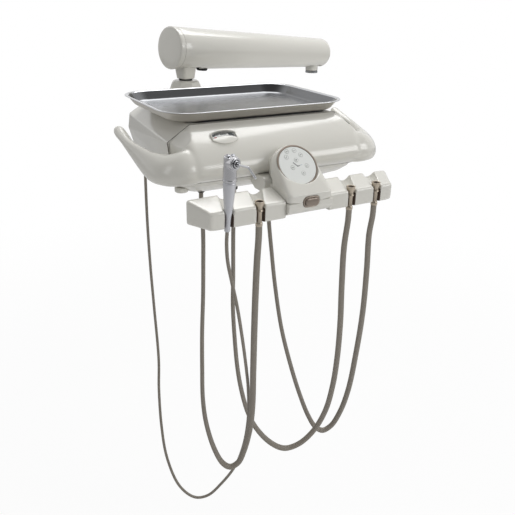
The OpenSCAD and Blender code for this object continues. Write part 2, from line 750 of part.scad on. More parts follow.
module brake_ring() color(taupe) in_head() on_brake() translate([0, 0, -6]) difference() {
    linear_extrude(7.2) brake_outline(brake_rim);
    translate([0, 0, 1.5]) linear_extrude(20) brake_outline(seat_gap);
}

module brake_button() color(taupe) in_head() on_brake() translate([0, 0, -2.2]) {
    linear_extrude(2.2 + brake_out - 1) brake_outline(0);
    translate([0, 0, 2.2 + brake_out - 1]) linear_extrude(1) brake_outline(-1.2);
}

// ---------- Terminals, syringe and hoses ----------

terminal_top = bar_front_h + 4;
terminal_foot = terminal_top - terminal_len;
terminal_bore_depth = 18;

module terminal(x) color(champagne) in_head() translate([x, slot_y, 0]) rotate_extrude()
    polygon([[0, terminal_top - terminal_bore_depth],
        [terminal_bore_r, terminal_top - terminal_bore_depth],
        [terminal_bore_r, terminal_top - 5], [flare_r - 1.2, terminal_top], [flare_r, terminal_top],
        [flare_r, terminal_top - 1], [stem_r + 2.4, terminal_top - 6],
        [stem_r + 0.6, terminal_top - 10], [stem_r + 0.6, grip_top + 2],
        [stem_r + 2, grip_top + 1.4], [stem_r + 2, grip_top],
        [stem_r, grip_top], [stem_r, terminal_foot + 7], [stem_r + 1, terminal_foot + 6],
        [stem_r + 1, terminal_foot], [0, terminal_foot]]);
module terminal_2() terminal(-slot_in);
module terminal_3() terminal(slot_in);
module terminal_4() terminal(slot_out);

syringe_len = 92;
syringe_head_h = 36.5;
module in_syringe() in_head() on_syringe() children();

module syringe_body() color("lightsteelblue") in_syringe() rotate_extrude() polygon([
    [0, 0], [syringe_foot_r, 0], [syringe_foot_r + 0.3, 20], [syringe_foot_r + 0.3, grip_top + 7],
    [6.8, grip_top + 8], [8.4, 52], [syringe_r - 0.4, syringe_len - 6], [0, syringe_len - 6]]);

module syringe_collar() color(champagne) in_syringe() translate([0, 0, syringe_len - 6])
    cylinder(r = syringe_r + 0.3, h = 4);

nozzle_at = syringe_len + 24;
module on_nozzle() translate([0, 0, nozzle_at]) rotate([0, 0, 12]) rotate([85, 0, 0]) children();
nut_at = 12;

module syringe_head() color("silver") in_syringe() difference() {
    union() {
        hull() {
            translate([0, 0, syringe_len - 2]) cylinder(r = syringe_r - 0.2, h = 1, $fn = 32);
            translate([0, 1, syringe_len + syringe_head_h - 4])
                cylinder(r = syringe_r - 0.5, h = 1, $fn = 32);
        }
        on_nozzle() cylinder(r = syringe_r - 0.6, h = nut_at);
    }
    for (s = [-1, 1]) translate([s * 4.4, 1, syringe_len + syringe_head_h - 8])
        cylinder(r = 3.5 + run_gap, h = 20);
    on_nozzle() cylinder(r = 3 + run_gap, h = 30);
}

module syringe_nut() color("silver") in_syringe() on_nozzle() translate([0, 0, nut_at])
    difference() {
        cylinder(r1 = 7.6, r2 = 6, h = 4);
        translate([0, 0, -1]) cylinder(r = 3 + run_gap, h = 8);
    }

module syringe_button(s) color("silver") in_syringe()
    translate([s * 4.4, 1, syringe_len + syringe_head_h - 6.2]) {
        cylinder(r = 3.5, h = 6);
        for (y = [-2.4, -0.4, 1.6]) translate([-2.4, y, 5.8]) cube([4.8, 0.8, 1]);
    }
module air_button() syringe_button(-1);
module water_button() syringe_button(1);

tip_r = 1.8;
tip_len = 42;
module syringe_tip() color("silver") in_syringe() on_nozzle() {
    translate([0, 0, 1]) cylinder(r = 3, h = 17);
    translate([0, 0, 10]) cylinder(r = tip_r, h = tip_len - 10);
    translate([0, 0, tip_len]) sphere(r = tip_r, $fn = 24);
    translate([0, 0, tip_len]) rotate([40, 0, 0]) cylinder(r = tip_r, h = 22);
}

// Hose routes in the head's frame, from the pan's gland to the foot of what hangs in the bar
gland_z = pan_bottom - gland_len;
route_1 = [[-148, 395, gland_z], [-149, 395, -30], [-150, 394, -120], [-151, 386, -227],
    [-154, 368, -315], [-163, 330, -436], [-176, 303, -498], [-188, 265, -574], [-191, 233, -635],
    [-179, 201, -694], [-159, 183, -722], [-142, 173, -730], [-121, 161, -722], [-97, 143, -684],
    [-75, 120, -626], [-66, 98, -554], [-70, 72, -459], [-84, 50, -369], [-96, 37, -314],
    [-117, 19, -223], [-133, 10, -152], [-145, 8, -100], [-153, 8, -60],
    syringe_foot - 20 * syringe_up, syringe_foot];
route_2 = [[-124, 170, gland_z], [-124, 170, -20], [-121, 170, -69], [-123, 167, -143],
    [-127, 161, -200], [-136, 149, -278], [-144, 134, -347], [-151, 118, -413], [-150, 106, -465],
    [-140, 91, -523], [-124, 82, -563], [-109, 77, -576], [-93, 72, -568], [-83, 66, -537],
    [-77, 53, -472], [-78, 43, -412], [-87, 27, -310], [-94, 15, -219], [-98, 7, -137],
    [-97, 6, -70], [-slot_in, slot_y, -28], [-slot_in, slot_y, terminal_foot]];
route_3 = [[-60, 160, gland_z], [-60, 160, -25], [-61, 160, -78], [-62, 157, -172],
    [-65, 152, -232], [-66, 143, -294], [-65, 130, -370], [-61, 119, -421], [-52, 109, -470],
    [-38, 101, -510], [-11, 91, -553], [19, 83, -581], [39, 79, -588], [67, 72, -580],
    [95, 63, -550], [114, 51, -495], [119, 39, -423], [115, 27, -343], [106, 16, -252],
    [95, 8, -162], [91, 6, -80], [slot_in, slot_y, -28], [slot_in, slot_y, terminal_foot]];
route_4 = [[16, 160, gland_z], [16, 160, -24], [20, 160, -72], [28, 160, -133], [36, 154, -212],
    [47, 140, -309], [61, 125, -386], [79, 108, -464], [99, 93, -529], [117, 85, -564],
    [135, 80, -577], [154, 75, -567], [169, 65, -525], [176, 53, -461], [171, 34, -355],
    [163, 17, -242], [154, 8, -141], [149, 6, -65], [slot_out, slot_y, -28],
    [slot_out, slot_y, terminal_foot]];

function unit(v) = v / norm(v);
// Direction of a route at a point, and the ring of points round it
function heading(p, i) = i == 0 ? unit(p[1] - p[0]) : i == len(p) - 1 ? unit(p[i] - p[i - 1])
    : unit(unit(p[i + 1] - p[i]) + unit(p[i] - p[i - 1]));
function ring_at(p, i, r, n) = let (t = heading(p, i), u = unit([0, 1, 0] - t.y * t), w = cross(t, u))
    [for (k = [0:n - 1]) p[i] + r * (cos(360 * k / n) * u + sin(360 * k / n) * w)];

module tube(p, r, n) polyhedron(
    [for (i = [0:len(p) - 1]) each ring_at(p, i, r, n)],
    concat([[for (k = [0:n - 1]) k]],
        [for (i = [0:len(p) - 2], k = [0:n - 1])
            [i * n + k, (i + 1) * n + k, (i + 1) * n + (k + 1) % n, i * n + (k + 1) % n]],
        [[for (k = [n - 1:-1:0]) (len(p) - 1) * n + k]]));

module hose_1() color(taupe) in_head() tube(route_1, hose_d_thin / 2, 8);
module hose_2() color(taupe) in_head() tube(route_2, hose_d / 2, 10);
module hose_3() color(taupe) in_head() tube(route_3, hose_d / 2, 10);
module hose_4() color(taupe) in_head() tube(route_4, hose_d / 2, 10);

spindle();
thrust_washer();
base_knuckle();
base_pins();
arm_cover();
arm_end_cap();
arm_bumper();
main_link();
parallel_link();
head_knuckle();
head_pins();
post_boss();
swivel_bush();
head_bracket();
front_shell();
rear_cover();
lower_pan();
tray_mat();
tray();
gauge_bezel();
gauge_dial();
gauge_needle();
gauge_window();
control_block();
flow_knob();
hose_glands();
pan_screws();
holder_neck();
centre_upper();
centre_lower();
touchpad_ring();
touchpad_face();
touch_key_1();
touch_key_2();
touch_key_3();
touch_key_4();
touch_key_5();
touch_key_6();
touch_key_7();
touch_key_8();
brake_ring();
brake_button();
bar_shaft();
left_holder();
right_holder();
terminal_2();
terminal_3();
terminal_4();
syringe_body();
syringe_collar();
syringe_head();
syringe_nut();
air_button();
water_button();
syringe_tip();
hose_1();
hose_2();
hose_3();
hose_4();
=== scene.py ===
"""Looks of the dental delivery head on its flex arm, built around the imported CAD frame."""

import math

import bmesh
import bpy
import numpy as np
from mathutils import Matrix, Vector


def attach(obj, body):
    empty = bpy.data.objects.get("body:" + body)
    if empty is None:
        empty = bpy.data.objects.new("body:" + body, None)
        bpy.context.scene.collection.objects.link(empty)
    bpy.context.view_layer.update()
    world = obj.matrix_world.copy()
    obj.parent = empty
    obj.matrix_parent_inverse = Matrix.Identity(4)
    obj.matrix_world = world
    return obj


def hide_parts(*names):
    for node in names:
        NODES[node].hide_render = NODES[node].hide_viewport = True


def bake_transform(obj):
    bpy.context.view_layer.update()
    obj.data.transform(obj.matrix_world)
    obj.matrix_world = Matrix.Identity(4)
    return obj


MM = 0.001
WELD = 2e-6
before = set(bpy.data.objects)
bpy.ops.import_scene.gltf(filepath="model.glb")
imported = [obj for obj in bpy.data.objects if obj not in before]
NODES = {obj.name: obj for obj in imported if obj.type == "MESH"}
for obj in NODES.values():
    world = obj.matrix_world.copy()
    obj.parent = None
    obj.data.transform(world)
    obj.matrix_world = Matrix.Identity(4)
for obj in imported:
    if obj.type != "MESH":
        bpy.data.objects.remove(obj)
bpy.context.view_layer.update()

# The head's own frame, in millimetres: zero on the front lower edge of the holder bar.
ARM_SPAN = 426.0
ARM_YAW = math.radians(13.0)
ARM_RISE = math.radians(3.9)
PIVOT_Z = 52.0
HEAD_PIVOT_Z = 230.0
NECK_BACK = 507.0
level_span = ARM_SPAN * math.cos(ARM_RISE)
POST = Vector((-level_span * math.cos(ARM_YAW), -level_span * math.sin(ARM_YAW), 0))
HEAD = Vector((POST.x, POST.y - NECK_BACK, PIVOT_Z + ARM_SPAN * math.sin(ARM_RISE) - HEAD_PIVOT_Z))
TO_HEAD = Matrix.Translation(HEAD)


def at(x, y, z):
    """A point of the head's frame, in the row frame and in metres."""
    return (HEAD + Vector((x, y, z))) * MM


# ---------------------------------------------------------------- camera

def place_camera():
    yaw, pitch, roll = 0.536360778, 0.413827590, 0.0247228009
    focal_px, frame_px = 619.763847, 515.0
    eye = Vector((-593.422554, -830.243921, 362.767472))
    ahead = Vector((math.sin(yaw) * math.cos(pitch), math.cos(yaw) * math.cos(pitch),
                    -math.sin(pitch)))
    right = Vector((math.cos(yaw), -math.sin(yaw), 0))
    up = right.cross(ahead)
    c, s = math.cos(roll), math.sin(roll)
    right, up = right * c + up * s, up * c - right * s
    turn = Matrix((right, up, -ahead)).transposed()
    data = bpy.data.cameras.new("camera")
    data.sensor_width = 36.0
    data.lens = focal_px * 36.0 / frame_px
    data.clip_start, data.clip_end = 0.02, 50.0
    camera = bpy.data.objects.new("camera", data)
    bpy.context.scene.collection.objects.link(camera)
    camera.matrix_world = Matrix.Translation(at(*eye)) @ turn.to_4x4()
    bpy.context.scene.camera = camera


place_camera()


# ---------------------------------------------------------------- materials

def linear(hex_colour):
    """Linear colour of a #rrggbb value."""
    parts = [int(hex_colour[i:i + 2], 16) / 255 for i in (1, 3, 5)]
    return [p / 12.92 if p <= 0.04045 else ((p + 0.055) / 1.055) ** 2.4 for p in parts]


def material(name, colour, rough=0.4, metal=0.0, coat=0.0, vary=0.0, vary_scale=40.0,
             grain=0.0, grain_scale=900.0, stretch=(1, 1, 1), **sockets):
    """A principled material whose colour and bump may vary with noise."""
    mat = bpy.data.materials.new(name)
    mat.use_nodes = True
    tree = mat.node_tree
    shader = tree.nodes["Principled BSDF"]
    rgb = linear(colour)
    shader.inputs["Base Color"].default_value = (*rgb, 1)
    shader.inputs["Roughness"].default_value = rough
    shader.inputs["Metallic"].default_value = metal
    shader.inputs["Coat Weight"].default_value = coat
    shader.inputs["Coat Roughness"].default_value = 0.12
    for key, value in sockets.items():
        shader.inputs[key.replace("_", " ")].default_value = value
    coords = tree.nodes.new("ShaderNodeTexCoord")
    mapping = tree.nodes.new("ShaderNodeMapping")
    mapping.inputs["Scale"].default_value = stretch
    tree.links.new(coords.outputs["Object"], mapping.inputs["Vector"])
    if vary:
        noise = tree.nodes.new("ShaderNodeTexNoise")
        noise.inputs["Scale"].default_value = vary_scale
        noise.inputs["Detail"].default_value = 4
        ramp = tree.nodes.new("ShaderNodeValToRGB")
        ramp.color_ramp.elements[0].color = (*[c * (1 - vary) for c in rgb], 1)
        ramp.color_ramp.elements[1].color = (*[min(1, c * (1 + vary)) for c in rgb], 1)
        tree.links.new(mapping.outputs["Vector"], noise.inputs["Vector"])
        tree.links.new(noise.outputs["Fac"], ramp.inputs["Fac"])
        tree.links.new(ramp.outputs["Color"], shader.inputs["Base Color"])
    if grain:
        fine = tree.nodes.new("ShaderNodeTexNoise")
        fine.inputs["Scale"].default_value = grain_scale
        fine.inputs["Detail"].default_value = 3
        bump = tree.nodes.new("ShaderNodeBump")
        bump.inputs["Strength"].default_value = grain
        bump.inputs["Distance"].default_value = 0.0004
        tree.links.new(mapping.outputs["Vector"], fine.inputs["Vector"])
        tree.links.new(fine.outputs["Fac"], bump.inputs["Height"])
        tree.links.new(bump.outputs["Normal"], shader.inputs["Normal"])
    return mat


MAT = {
    "ivory": material("ivory", "#dfddd5", rough=0.24, coat=0.6, vary=0.01, vary_scale=9,
                      grain=0.02, grain_scale=700),
    # Painted shade in the groove between the arm cover and its cap.
    "seam_pale": material("seam_pale", "#9d9a91", rough=0.6, vary=0.1, vary_scale=60),
    # Painted shade for the grooves between the head's mouldings.
    "seam": material("seam", "#5d5a54", rough=0.6, vary=0.1, vary_scale=60),
    "hose": material("hose", "#8c857b", rough=0.5, vary=0.05, vary_scale=60, grain=0.1),
    "champagne": material("champagne", "#c3b7a6", rough=0.3, metal=0.9, vary=0.03,
                          vary_scale=120, stretch=(1, 1, 8)),
    "tray_steel": material("tray_steel", "#949597", rough=0.24, metal=1.0, vary=0.08,
                           vary_scale=35, grain=0.02, grain_scale=260, stretch=(0.15, 6, 1)),
    # A darker copy of the tray steel: painted shade on the inner walls.
    "tray_wall": material("tray_wall", "#7f8082", rough=0.2, metal=1.0, vary=0.12,
                          vary_scale=30, stretch=(0.3, 0.3, 3)),
    # Warm pale satin steel for the tray's outer walls: painted reflection of the ivory body.
    "tray_satin_and_reflection": material("tray_satin_and_reflection", "#c9c5bd", rough=0.34, metal=0.55, vary=0.05,
                             vary_scale=40, stretch=(0.15, 6, 1)),
    "turned_steel": material("turned_steel", "#a9abad", rough=0.3, metal=1.0, vary=0.05,
                             vary_scale=200),
    # Bright chrome for the syringe's nut, buttons and tip, and a painted highlight on the tray's
    # rim.
    "chrome": material("chrome", "#d2d3d6", rough=0.12, metal=1.0, vary=0.02, vary_scale=50),
    "link_metal": material("link_metal", "#a8aaac", rough=0.42, metal=1.0, vary=0.05,
                           vary_scale=80, stretch=(0.3, 6, 6)),
    "black_rubber": material("black_rubber", "#1d1d1e", rough=0.75, vary=0.2, vary_scale=90,
                             grain=0.2),
    "dial": material("dial", "#f0f0ec", rough=0.5, vary=0.01, vary_scale=90),
    # Black print, and also the colour of painted shade in the syringe nut and of the gauge's dark
    # blocks.
    "ink_and_shade": material("ink_and_shade", "#1c1e22", rough=0.5, vary=0.1, vary_scale=300),
    "blue_ink": material("blue_ink", "#7f93ad", rough=0.5, vary=0.08, vary_scale=400),
    "needle": material("needle", "#c8352b", rough=0.4, vary=0.05, vary_scale=300),
    "block": material("block", "#3d4046", rough=0.55, vary=0.1, vary_scale=60),
    "taupe": material("taupe", "#a4978b", rough=0.28, metal=0.45, vary=0.03, vary_scale=120,
                      grain=0.04),
    "taupe_dark": material("taupe_dark", "#93877c", rough=0.26, metal=0.45, vary=0.03,
                           vary_scale=120, grain=0.04),
    "satin_chrome": material("satin_chrome", "#d2d2d5", rough=0.24, metal=0.9, vary=0.02,
                             vary_scale=50),
    # Painted shade in recesses: the low walls of the holder slots and the bores of the terminals.
    "bore": material("bore", "#4a3a30", rough=0.5, vary=0.1, vary_scale=200),
    "film_shade": material("film_shade", "#a9aba6", rough=0.4, vary=0.02, vary_scale=200),
    "touch_film": material("touch_film", "#eceeeb", rough=0.28, vary=0.01, vary_scale=100),
    "grey_body": material("grey_body", "#cdced3", rough=0.26, metal=0.3, coat=0.3, vary=0.02,
                          vary_scale=100),
    "gland": material("gland", "#3b3835", rough=0.6, vary=0.1, vary_scale=150),
    "clear": material("clear", "#eef3f6", rough=0.05, vary=0.01, vary_scale=50,
                      Alpha=0.04, Specular_IOR_Level=0.15),
}


# ---------------------------------------------------------------- making pieces

def add(name, mesh, mat, body=None, replaces=()):
    piece = bpy.data.objects.new(name, mesh)
    bpy.context.scene.collection.objects.link(piece)
    mesh.materials.clear()
    mesh.materials.append(MAT[mat])
    if body:
        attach(piece, body)
    if replaces:
        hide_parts(*replaces)
    return piece


def mesh_of(name, points, faces, smooth=True, sharp=None):
    """A mesh from points in the row frame, in metres."""
    mesh = bpy.data.meshes.new(name)
    mesh.from_pydata([tuple(p) for p in points], [], [tuple(f) for f in faces])
    tidy = bmesh.new()
    tidy.from_mesh(mesh)
    bmesh.ops.recalc_face_normals(tidy, faces=tidy.faces)
    tidy.to_mesh(mesh)
    tidy.free()
    mesh.polygons.foreach_set("use_smooth", [smooth] * len(mesh.polygons))
    if sharp:
        mesh.set_sharp_from_angle(angle=math.radians(sharp))
    mesh.update()
    return mesh


def weld(mesh, reach=WELD, outward=False):
    """Joins the mesh's points that lie within reach, in metres."""
    tidy = bmesh.new()
    tidy.from_mesh(mesh)
    bmesh.ops.remove_doubles(tidy, verts=tidy.verts, dist=reach)
    if outward:
        bmesh.ops.recalc_face_normals(tidy, faces=tidy.faces)
    tidy.to_mesh(mesh)
    tidy.free()
    return mesh


def node_mesh(node):
    """A welded copy of a CAD node's mesh."""
    mesh = weld(NODES[node].data.copy())
    mesh.name = node + "_copy"
    return mesh


def baked(piece):
    """The mesh of an object with its modifiers, which leave the object."""
    graph = bpy.context.evaluated_depsgraph_get()
    graph.update()
    mesh = bpy.data.meshes.new_from_object(piece.evaluated_get(graph))
    bpy.data.objects.remove(piece)
    return mesh


def work_object(mesh):
    work = bpy.data.objects.new("work", mesh)
    bpy.context.scene.collection.objects.link(work)
    return work


def between(value, low, high):
    """A smooth step from 0 at low to 1 at high."""
    t = np.clip((value - low) / (high - low), 0, 1)
    return t * t * (3 - 2 * t)


def ease_where(mesh, rounds, weight):
    """The mesh, smoothed by rounds where weight(x, y, z) in the head's frame says so."""
    place = np.empty(len(mesh.vertices) * 3)
    mesh.vertices.foreach_get("co", place)
    x, y, z = (place.reshape(-1, 3) / MM - np.array(HEAD)).T
    share = np.round(weight(x, y, z), 2)
    work = work_object(mesh)
    group = work.vertex_groups.new(name="eased")
    for value in np.unique(share):
        if value > 0:
            group.add(np.nonzero(share == value)[0].tolist(), float(value), "REPLACE")
    ease = work.modifiers.new("ease", "SMOOTH")
    ease.factor = 0.5
    ease.iterations = rounds
    ease.vertex_group = "eased"
    return baked(work)


def soften(node, mat, body, voxel, rounds, more=None, tools=()):
    """A moulded look for a CAD node: its shape with every edge softened.

    more is (rounds, weight) for a region that is softened further, and tools are taken out of
    the softened shape."""
    piece = work_object(node_mesh(node))
    grid = piece.modifiers.new("grid", "REMESH")
    grid.mode = "VOXEL"
    grid.voxel_size = voxel * MM
    ease = piece.modifiers.new("ease", "SMOOTH")
    ease.factor = 0.5
    ease.iterations = rounds
    mesh = baked(piece)
    if more:
        mesh = ease_where(mesh, *more)
    if tools:
        mesh = take_out(work_object(mesh), tools, "MANIFOLD")
    smooth_shade(mesh)
    return add(node + "_look", mesh, mat, body, replaces=(node,))


def paint(piece, mat, test):
    """Gives another material to the faces whose centre, in the head's frame in mm, passes."""
    mesh = piece.data
    mesh.materials.append(MAT[mat])
    extra = len(mesh.materials) - 1
    for face in mesh.polygons:
        if test(face.center / MM - HEAD, face.normal):
            face.material_index = extra


def bevelled(node, mat, body, width):
    """A CAD node's shape with its edges rounded."""
    source = node_mesh(node)
    tidy = bmesh.new()
    tidy.from_mesh(source)
    bmesh.ops.dissolve_limit(tidy, angle_limit=math.radians(1.0), verts=tidy.verts,
                             edges=tidy.edges)
    tidy.to_mesh(source)
    tidy.free()
    piece = bpy.data.objects.new("work", source)
    bpy.context.scene.collection.objects.link(piece)
    edge = piece.modifiers.new("edge", "BEVEL")
    edge.width = width * MM
    edge.segments = 3
    edge.limit_method = "ANGLE"
    edge.angle_limit = math.radians(30)
    edge.harden_normals = False
    mesh = baked(piece)
    smooth_shade(mesh, 40)
    return add(node + "_look", mesh, mat, body, replaces=(node,))


def plain(node, mat):
    """A CAD node that is shown as it is, with a material."""
    piece = NODES[node]
    piece.data.materials.clear()
    piece.data.materials.append(MAT[mat])


def turned_mesh(name, profile, place, n, shift=0.0, reach=WELD):
    """A revolved mesh: (radius, height) pairs in mm, turned about the z axis of place."""
    points, faces, rows = [], [], len(profile)
    for k in range(n):
        a = 2 * math.pi * (k + shift) / n
        points += [place @ Vector((r * math.cos(a), r * math.sin(a), z)) * MM for r, z in profile]
        j = (k + 1) % n
        faces += [(k * rows + i, j * rows + i, j * rows + i + 1, k * rows + i + 1)
                  for i in range(rows - 1)]
    return weld(mesh_of(name, points, faces), reach, outward=True)


def smooth_shade(mesh, sharp=None):
    """Smooth shading, with edges sharper than an angle in degrees left sharp."""
    mesh.polygons.foreach_set("use_smooth", [True] * len(mesh.polygons))
    if sharp:
        mesh.set_sharp_from_angle(angle=math.radians(sharp))
    return mesh


def lathe(name, profile, place, mat, body, replaces=(), n=72, sharp=38):
    mesh = smooth_shade(turned_mesh(name, profile, place, n, reach=WELD / 2), sharp)
    return add(name, mesh, mat, body, replaces=replaces)


def prism_mesh(name, outline, place, low, high):
    """A straight-sided mesh over an outline, in the frame of place."""
    n = len(outline)
    points = [place @ Vector((x, y, z)) * MM for z in (low, high) for x, y in outline]
    faces = [tuple(range(n))[::-1], tuple(range(n, 2 * n))]
    faces += [(k, (k + 1) % n, n + (k + 1) % n, n + k) for k in range(n)]
    return mesh_of(name, points, faces, smooth=False)


def prism(outline, place, low, high):
    """A tool for take_out, made by prism_mesh."""
    return work_object(prism_mesh("tool", outline, place, low, high))


def decal(name, outline, place, z, thick, mat, body):
    """A thin flat mark, for print and for painted reflection on the gauge: an outline in the plane
    of place, from z to z + thick.
    """
    return add(name, prism_mesh(name, outline, place, z, z + thick), mat, body)


def take_out(piece, tools, solver="EXACT"):
    """The piece's mesh with each tool's shape taken out of it; the objects go."""
    for tool in tools:
        step = piece.modifiers.new("cut", "BOOLEAN")
        step.operation = "DIFFERENCE"
        step.solver = solver
        step.object = tool
    mesh = baked(piece)
    for tool in tools:
        bpy.data.objects.remove(tool)
    return mesh


def rounded(profile, r=0.5, steps=3):
    """The profile with its corners rounded by up to r mm."""
    out = [profile[0]]
    for a, b, c in zip(profile, profile[1:], profile[2:]):
        a, b, c = Vector(a), Vector(b), Vector(c)
        reach = min(r, (a - b).length / 2.2, (c - b).length / 2.2)
        if reach < 0.02:
            out.append(tuple(b))
            continue
        p, q = b + (a - b).normalized() * reach, b + (c - b).normalized() * reach
        for i in range(steps + 1):
            t = i / steps
            out.append(tuple(p * (1 - t) ** 2 + b * 2 * t * (1 - t) + q * t ** 2))
    out.append(profile[-1])
    return out


def curve_points(route, step):
    """Points of one smooth curve through the route's points, about step mm apart."""
    p = [Vector(q) for q in route]
    p = [p[0] * 2 - p[1], *p, p[-1] * 2 - p[-2]]
    out = []
    for i in range(1, len(p) - 2):
        a, b, c, d = p[i - 1:i + 3]
        gap = (c - b).length
        ta = (b - a).length ** 0.5
        tb = ta + gap ** 0.5
        tc = tb + (d - c).length ** 0.5
        m1 = ((b - a) / ta - (c - a) / tb + (c - b) / (tb - ta)) * (tb - ta)
        m2 = ((c - b) / (tb - ta) - (d - b) / (tc - ta) + (d - c) / (tc - tb)) * (tb - ta)
        n = max(2, round(gap / step))
        for k in range(n):
            t = k / n
            out.append(b * (2 * t**3 - 3 * t**2 + 1) + m1 * (t**3 - 2 * t**2 + t)
                       + c * (3 * t**2 - 2 * t**3) + m2 * (t**3 - t**2))
    out.append(p[-2])
    return out


def tube(name, line, outline, mat, body=None):
    """A piece swept along a line: outline(t) gives (across, along side) pairs in mm."""
    n_rows = len(line)
    side = Vector((0, 1, 0))
    points, faces = [], []
    for i, p in enumerate(line):
        ahead = (line[min(i + 1, n_rows - 1)] - line[max(i - 1, 0)]).normalized()
        u = (side - ahead * side.dot(ahead)).normalized()
        w = ahead.cross(u)
        ring = outline(i / (n_rows - 1))
        for a, b in ring:
            points.append((p + w * a + u * b) * MM)
    n = len(ring)
    for i in range(n_rows - 1):
        for k in range(n):
            j = (k + 1) % n
            faces.append((i * n + k, (i + 1) * n + k, (i + 1) * n + j, i * n + j))
    faces.append(tuple(range(n)))
    faces.append(tuple(range((n_rows - 1) * n, n_rows * n))[::-1])
    mesh = mesh_of(name, points, faces, sharp=50)
    return add(name, mesh, mat, body)


def ellipse(width, height, n=20, turn=0.0):
    c, s = math.cos(turn), math.sin(turn)
    out = []
    for k in range(n):
        a = 2 * math.pi * k / n
        x, y = width / 2 * math.cos(a), height / 2 * math.sin(a)
        out.append((x * c - y * s, x * s + y * c))
    return out


# ---------------------------------------------------------------- hoses

SLOT_IN, SLOT_OUT, SLOT_Y = 95.0, 153.0, 6.0
TERMINAL_FOOT = -7.0
GLAND_Z = 10.0
LEAN = (math.radians(2.2), math.radians(1.6))
SYRINGE_FOOT = Vector((-SLOT_OUT - 1.6, 7, -7))
SYRINGE = (TO_HEAD @ Matrix.Translation(SYRINGE_FOOT) @ Matrix.Rotation(LEAN[1], 4, "Y")
           @ Matrix.Rotation(LEAN[0], 4, "X"))
syringe_up = SYRINGE.to_3x3() @ Vector((0, 0, 1))

ROUTES = {
    "hose_1": [(-148, 395, GLAND_Z), (-149, 395, -30), (-150, 394, -120), (-151, 386, -227),
               (-154, 368, -315), (-163, 330, -436), (-176, 303, -498), (-188, 265, -574),
               (-191, 233, -635), (-179, 201, -694), (-159, 183, -722), (-142, 173, -730),
               (-121, 161, -722), (-97, 143, -684), (-75, 120, -626), (-66, 98, -554),
               (-70, 72, -459), (-84, 50, -369), (-96, 37, -314), (-117, 19, -223),
               (-133, 10, -152), (-145, 8, -100), (-153, 8, -60),
               tuple(SYRINGE_FOOT - syringe_up * 20), tuple(SYRINGE_FOOT)],
    "hose_2": [(-124, 170, GLAND_Z), (-124, 170, -20), (-121, 170, -69), (-123, 167, -143),
               (-127, 161, -200), (-136, 149, -278), (-144, 134, -347), (-151, 118, -413),
               (-150, 106, -465), (-140, 91, -523), (-124, 82, -563), (-109, 77, -576),
               (-93, 72, -568), (-83, 66, -537), (-77, 53, -472), (-78, 43, -412),
               (-87, 27, -310), (-94, 15, -219), (-98, 7, -137), (-97, 6, -70),
               (-SLOT_IN, SLOT_Y, -28), (-SLOT_IN, SLOT_Y, TERMINAL_FOOT)],
    "hose_3": [(-60, 160, GLAND_Z), (-60, 160, -25), (-61, 160, -78), (-62, 157, -172),
               (-65, 152, -232), (-66, 143, -294), (-65, 130, -370), (-61, 119, -421),
               (-52, 109, -470), (-38, 101, -510), (-11, 91, -553), (19, 83, -581),
               (39, 79, -588), (67, 72, -580), (95, 63, -550), (114, 51, -495),
               (119, 39, -423), (115, 27, -343), (106, 16, -252), (95, 8, -162),
               (91, 6, -80), (SLOT_IN, SLOT_Y, -28), (SLOT_IN, SLOT_Y, TERMINAL_FOOT)],
    "hose_4": [(16, 160, GLAND_Z), (16, 160, -24), (20, 160, -72), (28, 160, -133),
               (36, 154, -212), (47, 140, -309), (61, 125, -386), (79, 108, -464),
               (99, 93, -529), (117, 85, -564), (135, 80, -577), (154, 75, -567),
               (169, 65, -525), (176, 53, -461), (171, 34, -355), (163, 17, -242),
               (154, 8, -141), (149, 6, -65), (SLOT_OUT, SLOT_Y, -28),
               (SLOT_OUT, SLOT_Y, TERMINAL_FOOT)],
}


def make_hose(node, width, height, twist):
    """A hose; its section turns by twist (in degrees, from start to end) along the way."""
    line = [HEAD + p for p in curve_points(ROUTES[node], 6.0)]

    def outline(t):
        a = math.radians(twist[0] + (twist[1] - twist[0]) * t)
        return ellipse(width, height, turn=a)

    hose = tube(node + "_look", line, outline, "hose")
    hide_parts(node)
    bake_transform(hose)


make_hose("hose_1", 6.2, 6.2, (0, 0))
make_hose("hose_2", 12.4, 8.2, (70, 0))
make_hose("hose_3", 12.4, 8.2, (60, 0))
make_hose("hose_4", 12.4, 8.2, (60, 0))


# ---------------------------------------------------------------- head mouldings

soften("rear_cover", "ivory", "head", 1.7, 3)
soften("lower_pan", "ivory", "head", 1.6, 4)
soften("holder_neck", "ivory", "head", 1.0, 4)
soften("head_bracket", "ivory", "head", 1.6, 6)
soften("post_boss", "ivory", "head", 0.9, 2)
soften("centre_upper", "ivory", "head", 0.9, 6,
       more=(90, lambda x, y, z: between(abs(x), 24, 36) * between(z, 74, 58) * between(z, 21, 27)))
soften("centre_lower", "ivory", "head", 0.8, 3)
left = soften("left_holder", "ivory", "holder_left", 0.9, 8,
              more=(110, lambda x, y, z: between(-x, 172, 190)))
right = soften("right_holder", "ivory", "holder_right", 0.9, 8,
               more=(110, lambda x, y, z: between(x, 172, 190)))
SLOT_SHADE = 24.0


def in_slot(places):
    """A test for the upright walls low in the slots at these places, which take painted shade."""
    def test(p, normal):
        return (-3.6 < p.y < 13 and p.z < SLOT_SHADE and abs(normal.z) < 0.6
                and any(abs(p.x - x) < 8.6 for x in places))
    return test


# Painted shade: the upright walls low in the slots, beside the terminals, are coloured dark brown.
paint(left, "bore", in_slot((-SLOT_IN, -SLOT_OUT - 1.3)))
paint(right, "bore", in_slot((SLOT_IN, SLOT_OUT)))


# ---------------------------------------------------------------- front shell

SEAM_Y, SEAM_Z, TOP_Z, CREASE_Z = 150.0, 50.0, 140.0, 113.0
HEAD_HALF, TOP_HALF, CORNER_HALF = 196.0, 155.0, 180.0
